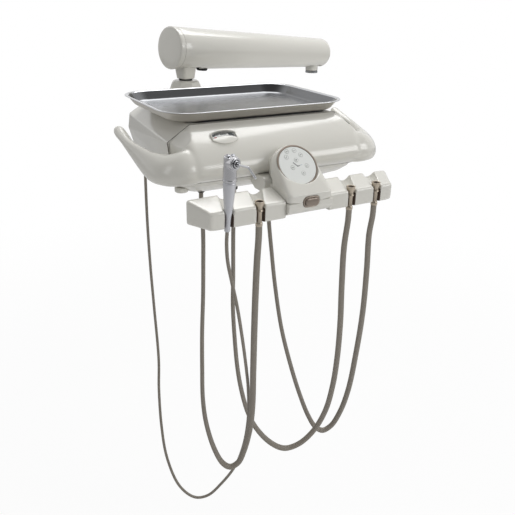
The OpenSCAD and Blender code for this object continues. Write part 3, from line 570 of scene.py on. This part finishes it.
# Front face: height over the seam and distance back
FACE = [(-9, 118), (0, 100), (6, 89), (14, 80.5), (23, 77), (34, 79.5), (46, 87), (58, 97.5),
        (69, 110), (79, 124), (86, 136.5), (91, 150)]
FACE_SCALE = (TOP_Z - SEAM_Z) / 91
SCOOP_R, SCOOP_AT = 55.0, Vector((209.7, 119.7, 156.9))
# Handle: place, half thickness, half height, lean, heading, rake and squareness of each section
HANDLE = [
    (-136, 108, 77, 5, 7, 0, 90, 0, 1.7), (-152, 103, 77, 14.5, 20, 0, 90, 4, 1.7),
    (-166, 101, 78, 19, 26.5, 0, 90, 6, 1.7), (-178, 100, 79.8, 20.5, 29, 0, 86, 7, 1.75),
    (-192, 101, 79, 20.5, 28, 0, 69, 8, 1.85), (-206, 109, 77, 19.8, 26, 1.5, 50, 10, 1.95),
    (-217, 122, 75.5, 18, 24, 4, 32, 10, 2), (-223, 136, 75.5, 16.5, 24, 6, 20, 8, 2),
    (-227.5, 152, 76.5, 15, 23.6, 7, 14, 5, 2), (-231, 172, 81, 13.6, 21.5, 7.5, 11, 3, 2),
    (-235, 194, 87.5, 12.6, 17.8, 7.5, 9, 1, 2), (-238, 216, 95.5, 11.9, 14, 6, 7, 0, 2),
    (-240, 238, 105, 11.3, 11, 3, 6, 0, 2), (-242, 258, 113, 10.6, 9.6, 0, 5, 0, 2),
    (-242.7, 266, 116, 8.6, 7.8, 0, 5, 0, 2), (-243, 269.6, 117.3, 4.5, 4.2, 0, 5, 0, 2)]


def side_half(z):
    """Half width of the head at a height."""
    if z < CREASE_Z:
        return HEAD_HALF - 8 * (CREASE_Z - z) / (CREASE_Z - SEAM_Z)
    return HEAD_HALF + (TOP_HALF - HEAD_HALF) * (z - CREASE_Z) / (TOP_Z - CREASE_Z)


def smooth_rows(rows, steps):
    """Rows of numbers with smooth steps between them."""
    p = [np.array(r, float) for r in rows]
    p = [2 * p[0] - p[1], *p, 2 * p[-1] - p[-2]]
    out = []
    for a, b, c, d in zip(p, p[1:], p[2:], p[3:]):
        for k in range(steps):
            t = k / steps
            out.append(b + 0.5 * t * (c - a + t * (2 * a - 5 * b + 4 * c - d
                                                   + t * (3 * (b - c) + d - a))))
    out.append(p[-2])
    return out


def loft(rings, mirrored=False):
    """A closed work object through rings of points of the head's frame."""
    flip = -1 if mirrored else 1
    n = len(rings[0])
    points = [at(flip * x, y, z) for ring in rings for x, y, z in ring]
    faces = [tuple(range(n)), tuple(range((len(rings) - 1) * n, len(rings) * n))[::-1]]
    faces += [(i * n + k, (i + 1) * n + k, (i + 1) * n + (k + 1) % n, i * n + (k + 1) % n)
              for i in range(len(rings) - 1) for k in range(n)]
    return work_object(mesh_of("loft", points, faces))


def body_ring(height, front, spare=0):
    z = SEAM_Z + height * FACE_SCALE
    side = side_half(z)
    half = min(CORNER_HALF, side - 1)
    r = max(1.0, min(16.0, (SEAM_Y - front) * 0.6))
    turn = [math.radians(180 + 90 * k / 10) for k in range(11)]
    left = [(-half + r + r * math.cos(a), front + r + r * math.sin(a), z) for a in turn]
    back = SEAM_Y + spare
    return [(-side, back, z)] + left + [(-x, y, z) for x, y, z in left[::-1]] + [(side, back, z)]


def handle_ring(row, n=48):
    x, y, z, thick, high, lean, heading, rake, square = row
    c, s = math.cos(math.radians(heading)), math.sin(math.radians(heading))
    ring = []
    for k in range(n):
        a = 2 * math.pi * k / n
        ca, sa = math.cos(a), math.sin(a)
        u = thick * math.copysign(abs(ca) ** (2 / square), ca) + rake * sa
        v = high * math.copysign(abs(sa) ** (2 / square), sa) - lean * ca
        ring.append((x + u * c, y + u * s, z + v))
    return ring


def ball(place, r):
    mesh = bpy.data.meshes.new("ball")
    shape = bmesh.new()
    bmesh.ops.create_uvsphere(shape, u_segments=96, v_segments=64, radius=r * MM,
                              matrix=Matrix.Translation(place))
    shape.to_mesh(mesh)
    shape.free()
    return work_object(mesh)


GAUGE_AT, GAUGE_LEAN = (-105, 113.6, 122.1), math.radians(38.5)
GAUGE = TO_HEAD @ Matrix.Translation(GAUGE_AT) @ Matrix.Rotation(GAUGE_LEAN, 4, "X")
GAUGE_HALF = 24.5
# The shell laps over the bezel's edge by these shares of its width and height
POCKET_FIT, POCKET_DEPTH = (0.975, 0.95), (-14, 16)
SHELL_VOXEL, SHELL_ROUNDS, BLEND_ROUNDS, SPARE = 1.4, 6, 70, 10


def arch_y(x, low, rise, half=GAUGE_HALF):
    """Height of the gauge's arch over x."""
    r = (half * half + rise * rise) / 2 / rise
    return low + rise - r + math.sqrt(r * r - x * x)


def gauge_outline():
    xs = np.linspace(GAUGE_HALF, -GAUGE_HALF, 25)
    return ([(x, arch_y(x, 9, 6)) for x in xs] + [(-x, -arch_y(x, 6.5, 8.5)) for x in xs])


def make_front_shell():
    """Face, scoops and handles as one soft shape, cut sharp at its seams and at the gauge."""
    rows = smooth_rows(FACE, 5) + [np.array((94, 158.0))]
    body = loft([body_ring(*row, spare=SPARE) for row in rows])
    scoops = [ball(at(side * SCOOP_AT.x, SCOOP_AT.y, SCOOP_AT.z), SCOOP_R) for side in (-1, 1)]
    whole = bmesh.new()
    whole.from_mesh(take_out(body, scoops))
    rings = [handle_ring(row) for row in smooth_rows(HANDLE, 5)]
    for mirrored in (False, True):
        grip = loft(rings, mirrored)
        whole.from_mesh(grip.data)
        bpy.data.objects.remove(grip)
    mesh = bpy.data.meshes.new("front_shell_work")
    whole.to_mesh(mesh)
    whole.free()
    work = work_object(mesh)
    grid = work.modifiers.new("grid", "REMESH")
    grid.mode = "VOXEL"
    grid.voxel_size = SHELL_VOXEL * MM
    ease = work.modifiers.new("ease", "SMOOTH")
    ease.factor = 0.5
    ease.iterations = SHELL_ROUNDS
    mesh = ease_where(baked(work), BLEND_ROUNDS, lambda x, y, z: between(abs(x), 112, 140)
                      * between(abs(x), 218, 200) * between(z, 112, 100))
    tools = [prism([(x * POCKET_FIT[0], y * POCKET_FIT[1]) for x, y in gauge_outline()], GAUGE,
                   *POCKET_DEPTH)]
    # What lies under the seam, behind the rear seam and above the top
    for half, low_y, high_y, low_z, high_z in ((216, 60, 180, 30, SEAM_Z),
                                               (203, SEAM_Y, 175, 20, 170),
                                               (203, 120, 175, TOP_Z, 170)):
        corners = [(-half, low_y), (half, low_y), (half, high_y), (-half, high_y)]
        tools.append(prism(corners, TO_HEAD, low_z, high_z))
    mesh = take_out(work_object(mesh), tools, "MANIFOLD")
    smooth_shade(mesh, 50)
    add("front_shell_look", mesh, "ivory", "head", replaces=("front_shell",))


make_front_shell()
SEAM_WIRE = 1.1


def seam_line(name, path):
    """A line of painted shade at the bottom of the groove between two mouldings."""
    line = [HEAD + Vector(p) for p in path]
    tube(name, line, lambda t: ellipse(SEAM_WIRE, SEAM_WIRE, 8), "seam", "head")


# Lines of painted shade along the front shell's lower and rear seams.
IN = 0.3
under = [(x + math.copysign(IN, -x), y + IN if y < SEAM_Y - 1 else y, z)
         for x, y, z in body_ring(0, 100)]
seam_line("seam_under_shell", under)
heights = np.linspace(SEAM_Z, TOP_Z, 31)
seam_line("seam_behind_shell", [(-side_half(z) + IN, SEAM_Y, z) for z in heights]
          + [(side_half(z) - IN, SEAM_Y, z) for z in heights[::-1]])


# ---------------------------------------------------------------- arm

ARM = (Matrix.Rotation(math.pi + ARM_YAW, 4, "Z") @ Matrix.Translation((0, 0, PIVOT_Z))
       @ Matrix.Rotation(-ARM_RISE, 4, "Y"))
ALONG = ARM @ Matrix.Rotation(math.pi / 2, 4, "Y")
COVER_HEAD, COVER_BASE, COVER_TAIL, CAP_REACH, CAP_BAND, WALL = 45.0, 36.0, 41.0, 43.0, 13.0, 3.0
TAIL_ROUND, CAP_ROUND = 15.0, 4.0
COVER_END = ARM_SPAN + CAP_REACH - CAP_BAND
NECK_SLOT, NECK_HALF, BASE_SLOT, BASE_HALF = 38.0, 21.5, 30.0, 18.7
BUMPER_X, BUMPER_SEAT = ARM_SPAN - 50, 13.4
SLOT_DEPTH = (-120, -6)


def cover_r(x):
    return COVER_BASE + (COVER_HEAD - COVER_BASE) * (x + COVER_TAIL) / (
        ARM_SPAN + CAP_REACH + COVER_TAIL)


def arc(cx, cy, r, start, end, n):
    steps = [math.radians(start + (end - start) * k / n) for k in range(n + 1)]
    return [(cx + r * math.cos(a), cy + r * math.sin(a)) for a in steps]


def slot_outline(low, high, half):
    r = half / 2
    return (arc(high - r, -half + r, r, -90, 0, 8)
            + arc(high - r, half - r, r, 0, 90, 8) + arc(low + r, half - r, r, 90, 180, 8)
            + arc(low + r, -half + r, r, 180, 270, 8))


def cut(piece, tools):
    return smooth_shade(take_out(piece, tools), 32)


def turned_work(profile):
    """A revolved work object along the arm."""
    return work_object(turned_mesh("work", profile, ALONG, 128, shift=0.5))


def neck_gap():
    """The cover's slot for the neck, open at the end."""
    return prism(slot_outline(ARM_SPAN - NECK_SLOT, COVER_END + 60, NECK_HALF), ARM, *SLOT_DEPTH)


def make_cover():
    tail_r = COVER_BASE - TAIL_ROUND
    outer = [(0, -COVER_TAIL)] + arc(tail_r, -COVER_TAIL + TAIL_ROUND, TAIL_ROUND, 270, 360, 14)
    outer += [(cover_r(x), x) for x in np.linspace(0, COVER_END - 1, 24)]
    outer += [(cover_r(COVER_END) - 0.25, COVER_END - 0.25), (cover_r(COVER_END) - 0.9, COVER_END)]
    inner = [(cover_r(COVER_END) - WALL, COVER_END), (COVER_BASE - WALL, -COVER_TAIL + TAIL_ROUND)]
    inner += arc(tail_r, -COVER_TAIL + TAIL_ROUND, TAIL_ROUND - WALL, 360, 270, 8)
    inner += [(0, -COVER_TAIL + WALL)]
    work = turned_work(outer + inner)
    tools = [
        prism(slot_outline(-BASE_SLOT, BASE_SLOT, BASE_HALF), ARM, *SLOT_DEPTH),
        neck_gap(),
        prism([(BUMPER_X + x, y) for x, y in arc(0, 0, BUMPER_SEAT, 0, 354.4, 63)], ARM,
              SLOT_DEPTH[0], -cover_r(BUMPER_X) + 2)]
    add("arm_cover_look", cut(work, tools), "ivory", "arm", replaces=("arm_cover",))


def make_cap():
    r = COVER_HEAD
    face = COVER_END + CAP_BAND + 0.5
    profile = [(0, COVER_END + 6), (r - 9, COVER_END + 6), (r - 9, COVER_END - 5),
               (r - WALL - 0.8, COVER_END - 5), (r - WALL - 0.8, COVER_END), (r - 0.9, COVER_END),
               (r - 0.3, COVER_END + 0.3), (r, COVER_END + 0.9), (r, COVER_END + 3)]
    profile += arc(r - CAP_ROUND, COVER_END + CAP_BAND - CAP_ROUND, CAP_ROUND, 0, 84, 10)
    profile += [(r * 0.6, face - 0.2), (r * 0.2, face), (0, face)]
    tool = prism(slot_outline(ARM_SPAN - NECK_SLOT, ARM_SPAN + NECK_SLOT, NECK_HALF), ARM,
                 *SLOT_DEPTH)
    add("arm_end_cap_look", cut(turned_work(profile), [tool]), "ivory", "arm",
        replaces=("arm_end_cap",))


make_cover()
make_cap()
seam_r = cover_r(COVER_END)
# A thin ring of painted shade in the groove where the cover meets the cap.
seam_ring = turned_work([(seam_r - 0.55, COVER_END - 0.5), (seam_r + 0.02, COVER_END - 0.35),
                         (seam_r + 0.02, COVER_END + 0.35), (seam_r - 0.55, COVER_END + 0.5),
                         (seam_r - 0.55, COVER_END - 0.5)])
add("seam_arm_cap", cut(seam_ring, [neck_gap()]), "seam_pale", "arm")
for k, x in enumerate((ARM_SPAN * 0.25, ARM_SPAN * 0.75)):
    foot = prism_mesh("foot", [(x, -5), (x + 6, -5), (x + 6, 5), (x, 5)], ARM,
                      -cover_r(x) + 1, -10)
    add("arm_foot_%d_look" % k, foot, "ivory", "arm")
plain("arm_bumper", "black_rubber")
plain("main_link", "link_metal")
plain("parallel_link", "link_metal")
plain("spindle", "turned_steel")
plain("thrust_washer", "black_rubber")
bevelled("base_knuckle", "ivory", "base", 0.8)
plain("base_pins", "turned_steel")
soften("head_knuckle", "ivory", "arm_head", 1.0, 3)
plain("head_pins", "turned_steel")
plain("swivel_bush", "black_rubber")


# ---------------------------------------------------------------- tray

def ring_of(half_x, half_y, r, z, n=10):
    """A rounded rectangle in the tray's own frame."""
    out = []
    for cx, cy, start in ((1, 1, 0), (-1, 1, 90), (-1, -1, 180), (1, -1, 270)):
        for k in range(n + 1):
            a = math.radians(start + 90 * k / n)
            out.append((cx * (half_x - r) + r * math.cos(a),
                        cy * (half_y - r) + r * math.sin(a), z))
    return out


def make_tray():
    hx, hy, deep = 192.0, 133.5, 19.0
    middle = HEAD + Vector((-4, 272, 142.3))
    rows = [
        (0.4, 56, deep - 1.3), (0.0, 56, deep - 0.6), (0.4, 56, deep), (1.6, 55, deep),
        (5.2, 52, deep - 0.1), (6.4, 51, deep - 0.7), (7.2, 50, deep - 1.9),
        (17.6, 42, 4.2), (18.8, 41, 2.5), (20.6, 40, 1.6), (23.5, 38, 1.25), (40, 26, 1.2),
        (110, 6, 1.2), (132, 0.6, 1.2)]
    under = [
        (132, 0.6, 0.0), (110, 6, 0.0), (40, 26, 0.0), (24, 38, 0.0), (20.6, 39.5, 0.4),
        (17.8, 41, 2.2), (16.0, 42, 4.2), (6.2, 50, deep - 2.4), (5.2, 51.5, deep - 1.5),
        (3.0, 53.5, deep - 1.3)]
    points, faces = [], []
    for inset, r, z in rows + under:
        points += [(middle + Vector(p)) * MM for p in ring_of(hx - inset, hy - inset, r, z)]
    n = len(ring_of(1, 1, 0.1, 0))
    total = len(rows + under)
    for i in range(total):
        if i == len(rows) - 1:
            continue
        j = (i + 1) % total
        for k in range(n):
            m = (k + 1) % n
            faces.append((i * n + k, j * n + k, j * n + m, i * n + m))
    top, low = len(rows) - 1, len(rows)
    faces.append([top * n + k for k in range(n)])
    faces.append([low * n + k for k in range(n)][::-1])
    mesh = mesh_of("tray_look", points, faces)
    tray = add("tray_look", mesh, "tray_steel", "tray", replaces=("tray",))
    foot = (middle - HEAD).z
    # Painted reflection: the outer walls get a warm pale colour for the ivory body they reflect,
    # with a rougher satin finish.
    paint(tray, "tray_satin_and_reflection", lambda p, normal: normal.z < 0.1 and p.z < foot + deep - 1.4)
    # Painted shade: the sloping inner walls get the darker steel.
    paint(tray, "tray_wall", lambda p, normal: 0.1 < normal.z < 0.93 and p.z < foot + deep - 1.9)
    # Painted highlight: the top of the rim gets bright chrome.
    paint(tray, "chrome", lambda p, normal: normal.z > -0.2 and p.z > foot + deep - 1.9)


make_tray()
plain("tray_mat", "black_rubber")


# ---------------------------------------------------------------- gauge, knob and screws

def gauge_block(name, x_low, x_high, top, deep, lean=0.0, mat="ink_and_shade"):
    """A dark mark under the window that follows the upper arch: print for the ticks, partly painted
    reflection for the large blocks.
    """
    xs = [x_low + (x_high - x_low) * k / 8 for k in range(9)]
    upper = [(x, arch_y(x, 9, 6) - top) for x in xs]
    lower = [(x + lean, arch_y(x + lean, 9, 6) - top - deep) for x in xs]
    decal(name, upper + lower[::-1], GAUGE, -1.98, 0.12, mat, "head")


bevelled("gauge_bezel", "ivory", "head", 0.45)
plain("gauge_dial", "dial")
# The three large blocks are the dial's dark top under a painted dark reflection; the slanted gap
# between the second and third is a painted highlight.
gauge_block("dial_and_reflection_block_1", -21.2, -7.2, 3.6, 4.4)
gauge_block("dial_and_reflection_block_2", -4.8, 7.4, 2.6, 5.6)
gauge_block("dial_and_reflection_block_3", 10.6, 20.6, 2.6, 6.4, lean=1.0)
gauge_block("scale_mark_low", -17.6, -16.0, 9.4, 4.6, mat="needle")
for k in range(15):
    gauge_block("scale_tick_%d" % k, -19.6 + 2.8 * k, -19.2 + 2.8 * k, 9.6, 1.5)
plain("gauge_needle", "needle")
plain("gauge_window", "clear")
plain("control_block", "block")
bevelled("flow_knob", "ivory", "flow_knob", 0.4)
plain("hose_glands", "gland")
plain("pan_screws", "turned_steel")
plain("bar_shaft", "turned_steel")


# ---------------------------------------------------------------- touchpad

PAD = (TO_HEAD @ Matrix.Translation((0, 39.7, 77.9)) @ Matrix.Rotation(math.radians(48.5), 4, "X"))
PAD_SEAT = -3.4
lathe("touchpad_ring_look", rounded([
    (0, PAD_SEAT), (38.5, PAD_SEAT), (38.5, 0.2), (39.5, 0.3), (39.5, 1.1), (36.9, 1.1),
    (36.4, 0.3), (36.0, PAD_SEAT + 1.2), (0, PAD_SEAT + 1.2)], 0.5), PAD, "taupe", "head",
      replaces=("touchpad_ring",), n=128)
plain("touchpad_face", "touch_film")
KEYS = [(-11.9, 28), (3.5, 28.4), (13.4, 18.5), (-16.7, 17.6), (0.6, 10), (18.1, -3.1),
        (-11.3, -3.3), (6, -16.3)]
KEY_LOW = -0.6
# Generic marks: an up arrow, a down arrow, a bar, a dot, a square, and three slanted strokes
MARKS = [
    [(-1.1, -0.9), (1.1, -0.9), (0, 1.2)], [(-1.1, 0.9), (0, -1.2), (1.1, 0.9)],
    [(-1.3, -0.45), (1.3, -0.45), (1.3, 0.45), (-1.3, 0.45)],
    [(-0.9, 0), (0, -0.9), (0.9, 0), (0, 0.9)],
    [(-1, -0.9), (1, -0.9), (1, 0.9), (-1, 0.9)],
    [(-1.4, -0.9), (-0.5, -0.9), (1.4, 0.9), (0.5, 0.9)],
    [(-1.3, -0.4), (0.2, -1.0), (1.3, 0.4), (-0.2, 1.0)],
    [(-0.5, -1.3), (0.5, -1.3), (0.5, 1.3), (-0.5, 1.3)]]
for i, (x, y) in enumerate(KEYS):
    key = PAD @ Matrix.Translation((x, y, 0))
    node = "touch_key_%d" % (i + 1)
    lathe(node + "_look", rounded([
        (0, KEY_LOW), (3.6, KEY_LOW), (3.6, 0.62), (2.9, 0.74), (2.1, 1.28), (1.3, 1.1),
        (0, 1.0)], 0.5), key, "touch_film", node, replaces=(node,), n=40, sharp=60)
    decal(node + "_mark", MARKS[i], key, 0.95, 0.3, "ink_and_shade", node)
    # A ring of painted shade around each key's dome.
    lathe(node + "_shade_ring", [(3.7, 0.5), (4.3, 0.5), (4.3, 0.66), (3.7, 0.66), (3.7, 0.5)], key,
          "film_shade", "head", n=40)
decal("pad_mark_back", [(-7.9, 5.6), (-7.0, 6.4), (-0.2, -1.2), (-1.2, -2.0)], PAD, 0.55, 0.15,
      "ink_and_shade", "head")
decal("pad_mark_seat", [(-1.6, -2.6), (1.4, -2.2), (4.6, -1.4), (4.4, -0.6), (0.6, -1.0),
                        (-1.0, -0.8)], PAD, 0.55, 0.15, "ink_and_shade", "head")
decal("pad_mark_foot", [(4.9, -1.3), (9.6, -0.2), (9.6, 0.3), (4.8, -0.7)], PAD, 0.55, 0.15,
      "blue_ink", "head")
bevelled("brake_ring", "taupe", "head", 0.7)
bevelled("brake_button", "taupe_dark", "brake_button", 0.8)

# ---------------------------------------------------------------- terminals and syringe

TOP = 37.0
for node, x, holder in (("terminal_2", -SLOT_IN, "holder_left"),
                        ("terminal_3", SLOT_IN, "holder_right"),
                        ("terminal_4", SLOT_OUT, "holder_right")):
    stand = TO_HEAD @ Matrix.Translation((x, SLOT_Y, 0))
    lathe(node + "_look", rounded([
        (0, TOP - 18), (3.6, TOP - 18), (3.6, TOP - 5), (7.1, TOP), (8.3, TOP), (8.3, TOP - 1),
        (7.6, TOP - 6), (5.8, TOP - 10), (5.8, 22), (7.2, 21.4), (7.2, 20), (5.2, 20), (5.2, 0),
        (6.2, -1), (6.2, -7), (0, -7)], 0.9), stand, "champagne", holder, replaces=(node,))
    # A dark lining inside each terminal's funnel: painted shade in its bore.
    lathe(node + "_bore", [(0, TOP - 17.8), (3.5, TOP - 17.8), (3.5, TOP - 5.2), (6.3, TOP - 1.1),
                           (6.2, TOP - 1.0), (3.3, TOP - 5.0), (3.3, TOP - 17.6), (0, TOP - 17.6)],
          stand, "bore", holder)

SYRINGE_LEN = 92.0
lathe("syringe_body_look", rounded([
    (0, 0), (5, 0), (5.3, 24), (6.9, 34), (8.4, 52), (11.0, SYRINGE_LEN - 6),
    (0, SYRINGE_LEN - 6)], 8.0, 8), SYRINGE, "grey_body", "holder_left",
      replaces=("syringe_body",))
lathe("syringe_collar_look", rounded([
    (0, SYRINGE_LEN - 6), (11.4, SYRINGE_LEN - 6), (11.7, SYRINGE_LEN - 5), (11.7, SYRINGE_LEN - 3),
    (11.4, SYRINGE_LEN - 2), (0, SYRINGE_LEN - 2)], 0.4), SYRINGE, "satin_chrome",
      "holder_left", replaces=("syringe_collar",))
NOZZLE = (SYRINGE @ Matrix.Translation((0, 0, SYRINGE_LEN + 24))
          @ Matrix.Rotation(math.radians(12), 4, "Z") @ Matrix.Rotation(math.radians(85), 4, "X"))
lathe("syringe_nut_look", rounded([
    (3.05, 10), (9.0, 10), (9.0, 13.2), (8.2, 13.8), (7.2, 13.8), (6.8, 12.6), (5.8, 12.6),
    (5.6, 15.4), (5.0, 16), (3.05, 16), (3.05, 10)], 0.3), NOZZLE, "chrome", "holder_left",
      replaces=("syringe_nut",))
# Dark rings of painted shade in the nut's groove and around its bore.
for name, inner, outer, height in (("groove_shade", 5.7, 6.9, 12.9), ("bore", 2.0, 3.9, 16.05)):
    lathe("syringe_nut_" + name, [(inner, height), (outer, height), (outer, height + 0.15),
                                  (inner, height + 0.15), (inner, height)], NOZZLE, "ink_and_shade",
          "holder_left")
BUTTON_X, BUTTON_Y, GUIDE_R, GUIDE_FOOT = 4.4, 1.0, 3.8, SYRINGE_LEN + 28.2
guides = [prism([(side * BUTTON_X + x, BUTTON_Y + y)
                  for x, y in ellipse(2 * GUIDE_R, 2 * GUIDE_R, 48)],
                SYRINGE, GUIDE_FOOT, GUIDE_FOOT + 20) for side in (-1, 1)]
soften("syringe_head", "satin_chrome", "holder_left", 0.4, 4, tools=guides)
plain("air_button", "chrome")
plain("water_button", "chrome")
plain("syringe_tip", "chrome")


# ---------------------------------------------------------------- light and floor

def area(name, place, aim, size, power):
    data = bpy.data.lights.new(name, "AREA")
    data.shape = "RECTANGLE"
    data.size, data.size_y = size
    data.energy = power
    lamp = bpy.data.objects.new(name, data)
    bpy.context.scene.collection.objects.link(lamp)
    lamp.location = place
    lamp.rotation_mode = "QUATERNION"
    lamp.rotation_quaternion = (Vector(aim) - Vector(place)).to_track_quat("-Z", "Y")


FLOOR_Z, FLOOR_HALF = -1.02, 12.0
FLOOR_SHARE = 0.92     # share of plain white in what the camera sees of the floor
FADE = (0.7, 2.4)      # from here the floor turns plain white, in metres from the object
SKY = 0.37
DARK_SIDE, LIGHT_SIDE, DARK_WAY = 0.12, 0.85, (-0.45, -0.85, 0.28)


def make_floor():
    """A pale floor that keeps the shadow and turns plain white for the camera far away."""
    mesh = bpy.data.meshes.new("floor")
    mesh.from_pydata([(x * FLOOR_HALF, y * FLOOR_HALF, FLOOR_Z)
                      for x, y in ((-1, -1), (1, -1), (1, 1), (-1, 1))], [], [(0, 1, 2, 3)])
    floor = bpy.data.objects.new("floor", mesh)
    bpy.context.scene.collection.objects.link(floor)
    mat = bpy.data.materials.new("floor")
    mat.use_nodes = True
    tree = mat.node_tree
    shader = tree.nodes["Principled BSDF"]
    shader.inputs["Base Color"].default_value = (0.9, 0.9, 0.9, 1)
    shader.inputs["Roughness"].default_value = 0.9
    white = tree.nodes.new("ShaderNodeEmission")
    white.inputs["Color"].default_value = (1, 1, 1, 1)
    white.inputs["Strength"].default_value = 1.0
    mix = tree.nodes.new("ShaderNodeMixShader")
    tree.links.new(shader.outputs[0], mix.inputs[1])
    tree.links.new(white.outputs[0], mix.inputs[2])
    coords = tree.nodes.new("ShaderNodeTexCoord")
    away = tree.nodes.new("ShaderNodeVectorMath")
    away.operation = "DISTANCE"
    away.inputs[1].default_value = tuple(at(0, 250, 0).to_2d()) + (FLOOR_Z,)
    tree.links.new(coords.outputs["Object"], away.inputs[0])
    fade = tree.nodes.new("ShaderNodeMapRange")
    fade.interpolation_type = "SMOOTHSTEP"
    for name, value in (("From Min", FADE[0]), ("From Max", FADE[1]), ("To Min", FLOOR_SHARE),
                        ("To Max", 1.0)):
        fade.inputs[name].default_value = value
    tree.links.new(away.outputs["Value"], fade.inputs["Value"])
    seen = tree.nodes.new("ShaderNodeMath")
    seen.operation = "MULTIPLY"
    path = tree.nodes.new("ShaderNodeLightPath")
    tree.links.new(path.outputs["Is Camera Ray"], seen.inputs[0])
    tree.links.new(fade.outputs["Result"], seen.inputs[1])
    tree.links.new(seen.outputs[0], mix.inputs[0])
    tree.links.new(mix.outputs[0], tree.nodes["Material Output"].inputs["Surface"])
    mesh.materials.append(mat)


def make_world():
    """White for the camera; metal sees a pale room behind the object and a dark one before it."""
    world = bpy.data.worlds.new("world")
    bpy.context.scene.world = world
    world.use_nodes = True
    tree = world.node_tree
    sky = tree.nodes["Background"]
    sky.inputs["Color"].default_value = (1, 1, 1, 1)
    sky.inputs["Strength"].default_value = SKY
    path = tree.nodes.new("ShaderNodeLightPath")
    coords = tree.nodes.new("ShaderNodeTexCoord")
    facing = tree.nodes.new("ShaderNodeVectorMath")
    facing.operation = "DOT_PRODUCT"
    facing.inputs[1].default_value = DARK_WAY
    tree.links.new(coords.outputs["Generated"], facing.inputs[0])
    side = tree.nodes.new("ShaderNodeMapRange")
    side.interpolation_type = "SMOOTHSTEP"
    for name, value in (("From Min", -0.1), ("From Max", 0.6), ("To Min", LIGHT_SIDE),
                        ("To Max", DARK_SIDE)):
        side.inputs[name].default_value = value
    tree.links.new(facing.outputs["Value"], side.inputs["Value"])
    room = tree.nodes.new("ShaderNodeBackground")
    room.inputs["Color"].default_value = (1, 1, 1, 1)
    tree.links.new(side.outputs["Result"], room.inputs["Strength"])
    bright = tree.nodes.new("ShaderNodeBackground")
    bright.inputs["Color"].default_value = (1, 1, 1, 1)
    bright.inputs["Strength"].default_value = 1.0
    seen = sky
    for ray, back in (("Is Glossy Ray", room), ("Is Transmission Ray", bright),
                      ("Is Camera Ray", bright)):
        mix = tree.nodes.new("ShaderNodeMixShader")
        tree.links.new(path.outputs[ray], mix.inputs[0])
        tree.links.new(seen.outputs[0], mix.inputs[1])
        tree.links.new(back.outputs[0], mix.inputs[2])
        seen = mix
    tree.links.new(seen.outputs[0], tree.nodes["World Output"].inputs["Surface"])


# Lamps: offset from the middle of the head and size in metres, and power in watts
LAMPS = (("key", (0.9, 0.9, 2.3), (1.9, 1.5), 38), ("fill", (1.6, -2.1, 0.9), (1.5, 1.2), 23),
         ("side", (-2.2, -0.8, 1.3), (0.7, 1.5), 5))
aim = at(0, 200, 60)
for lamp_name, offset, size, power in LAMPS:
    area(lamp_name, aim + Vector(offset), aim, size, power)
make_floor()
make_world()
bpy.context.scene.view_settings.view_transform = "Standard"
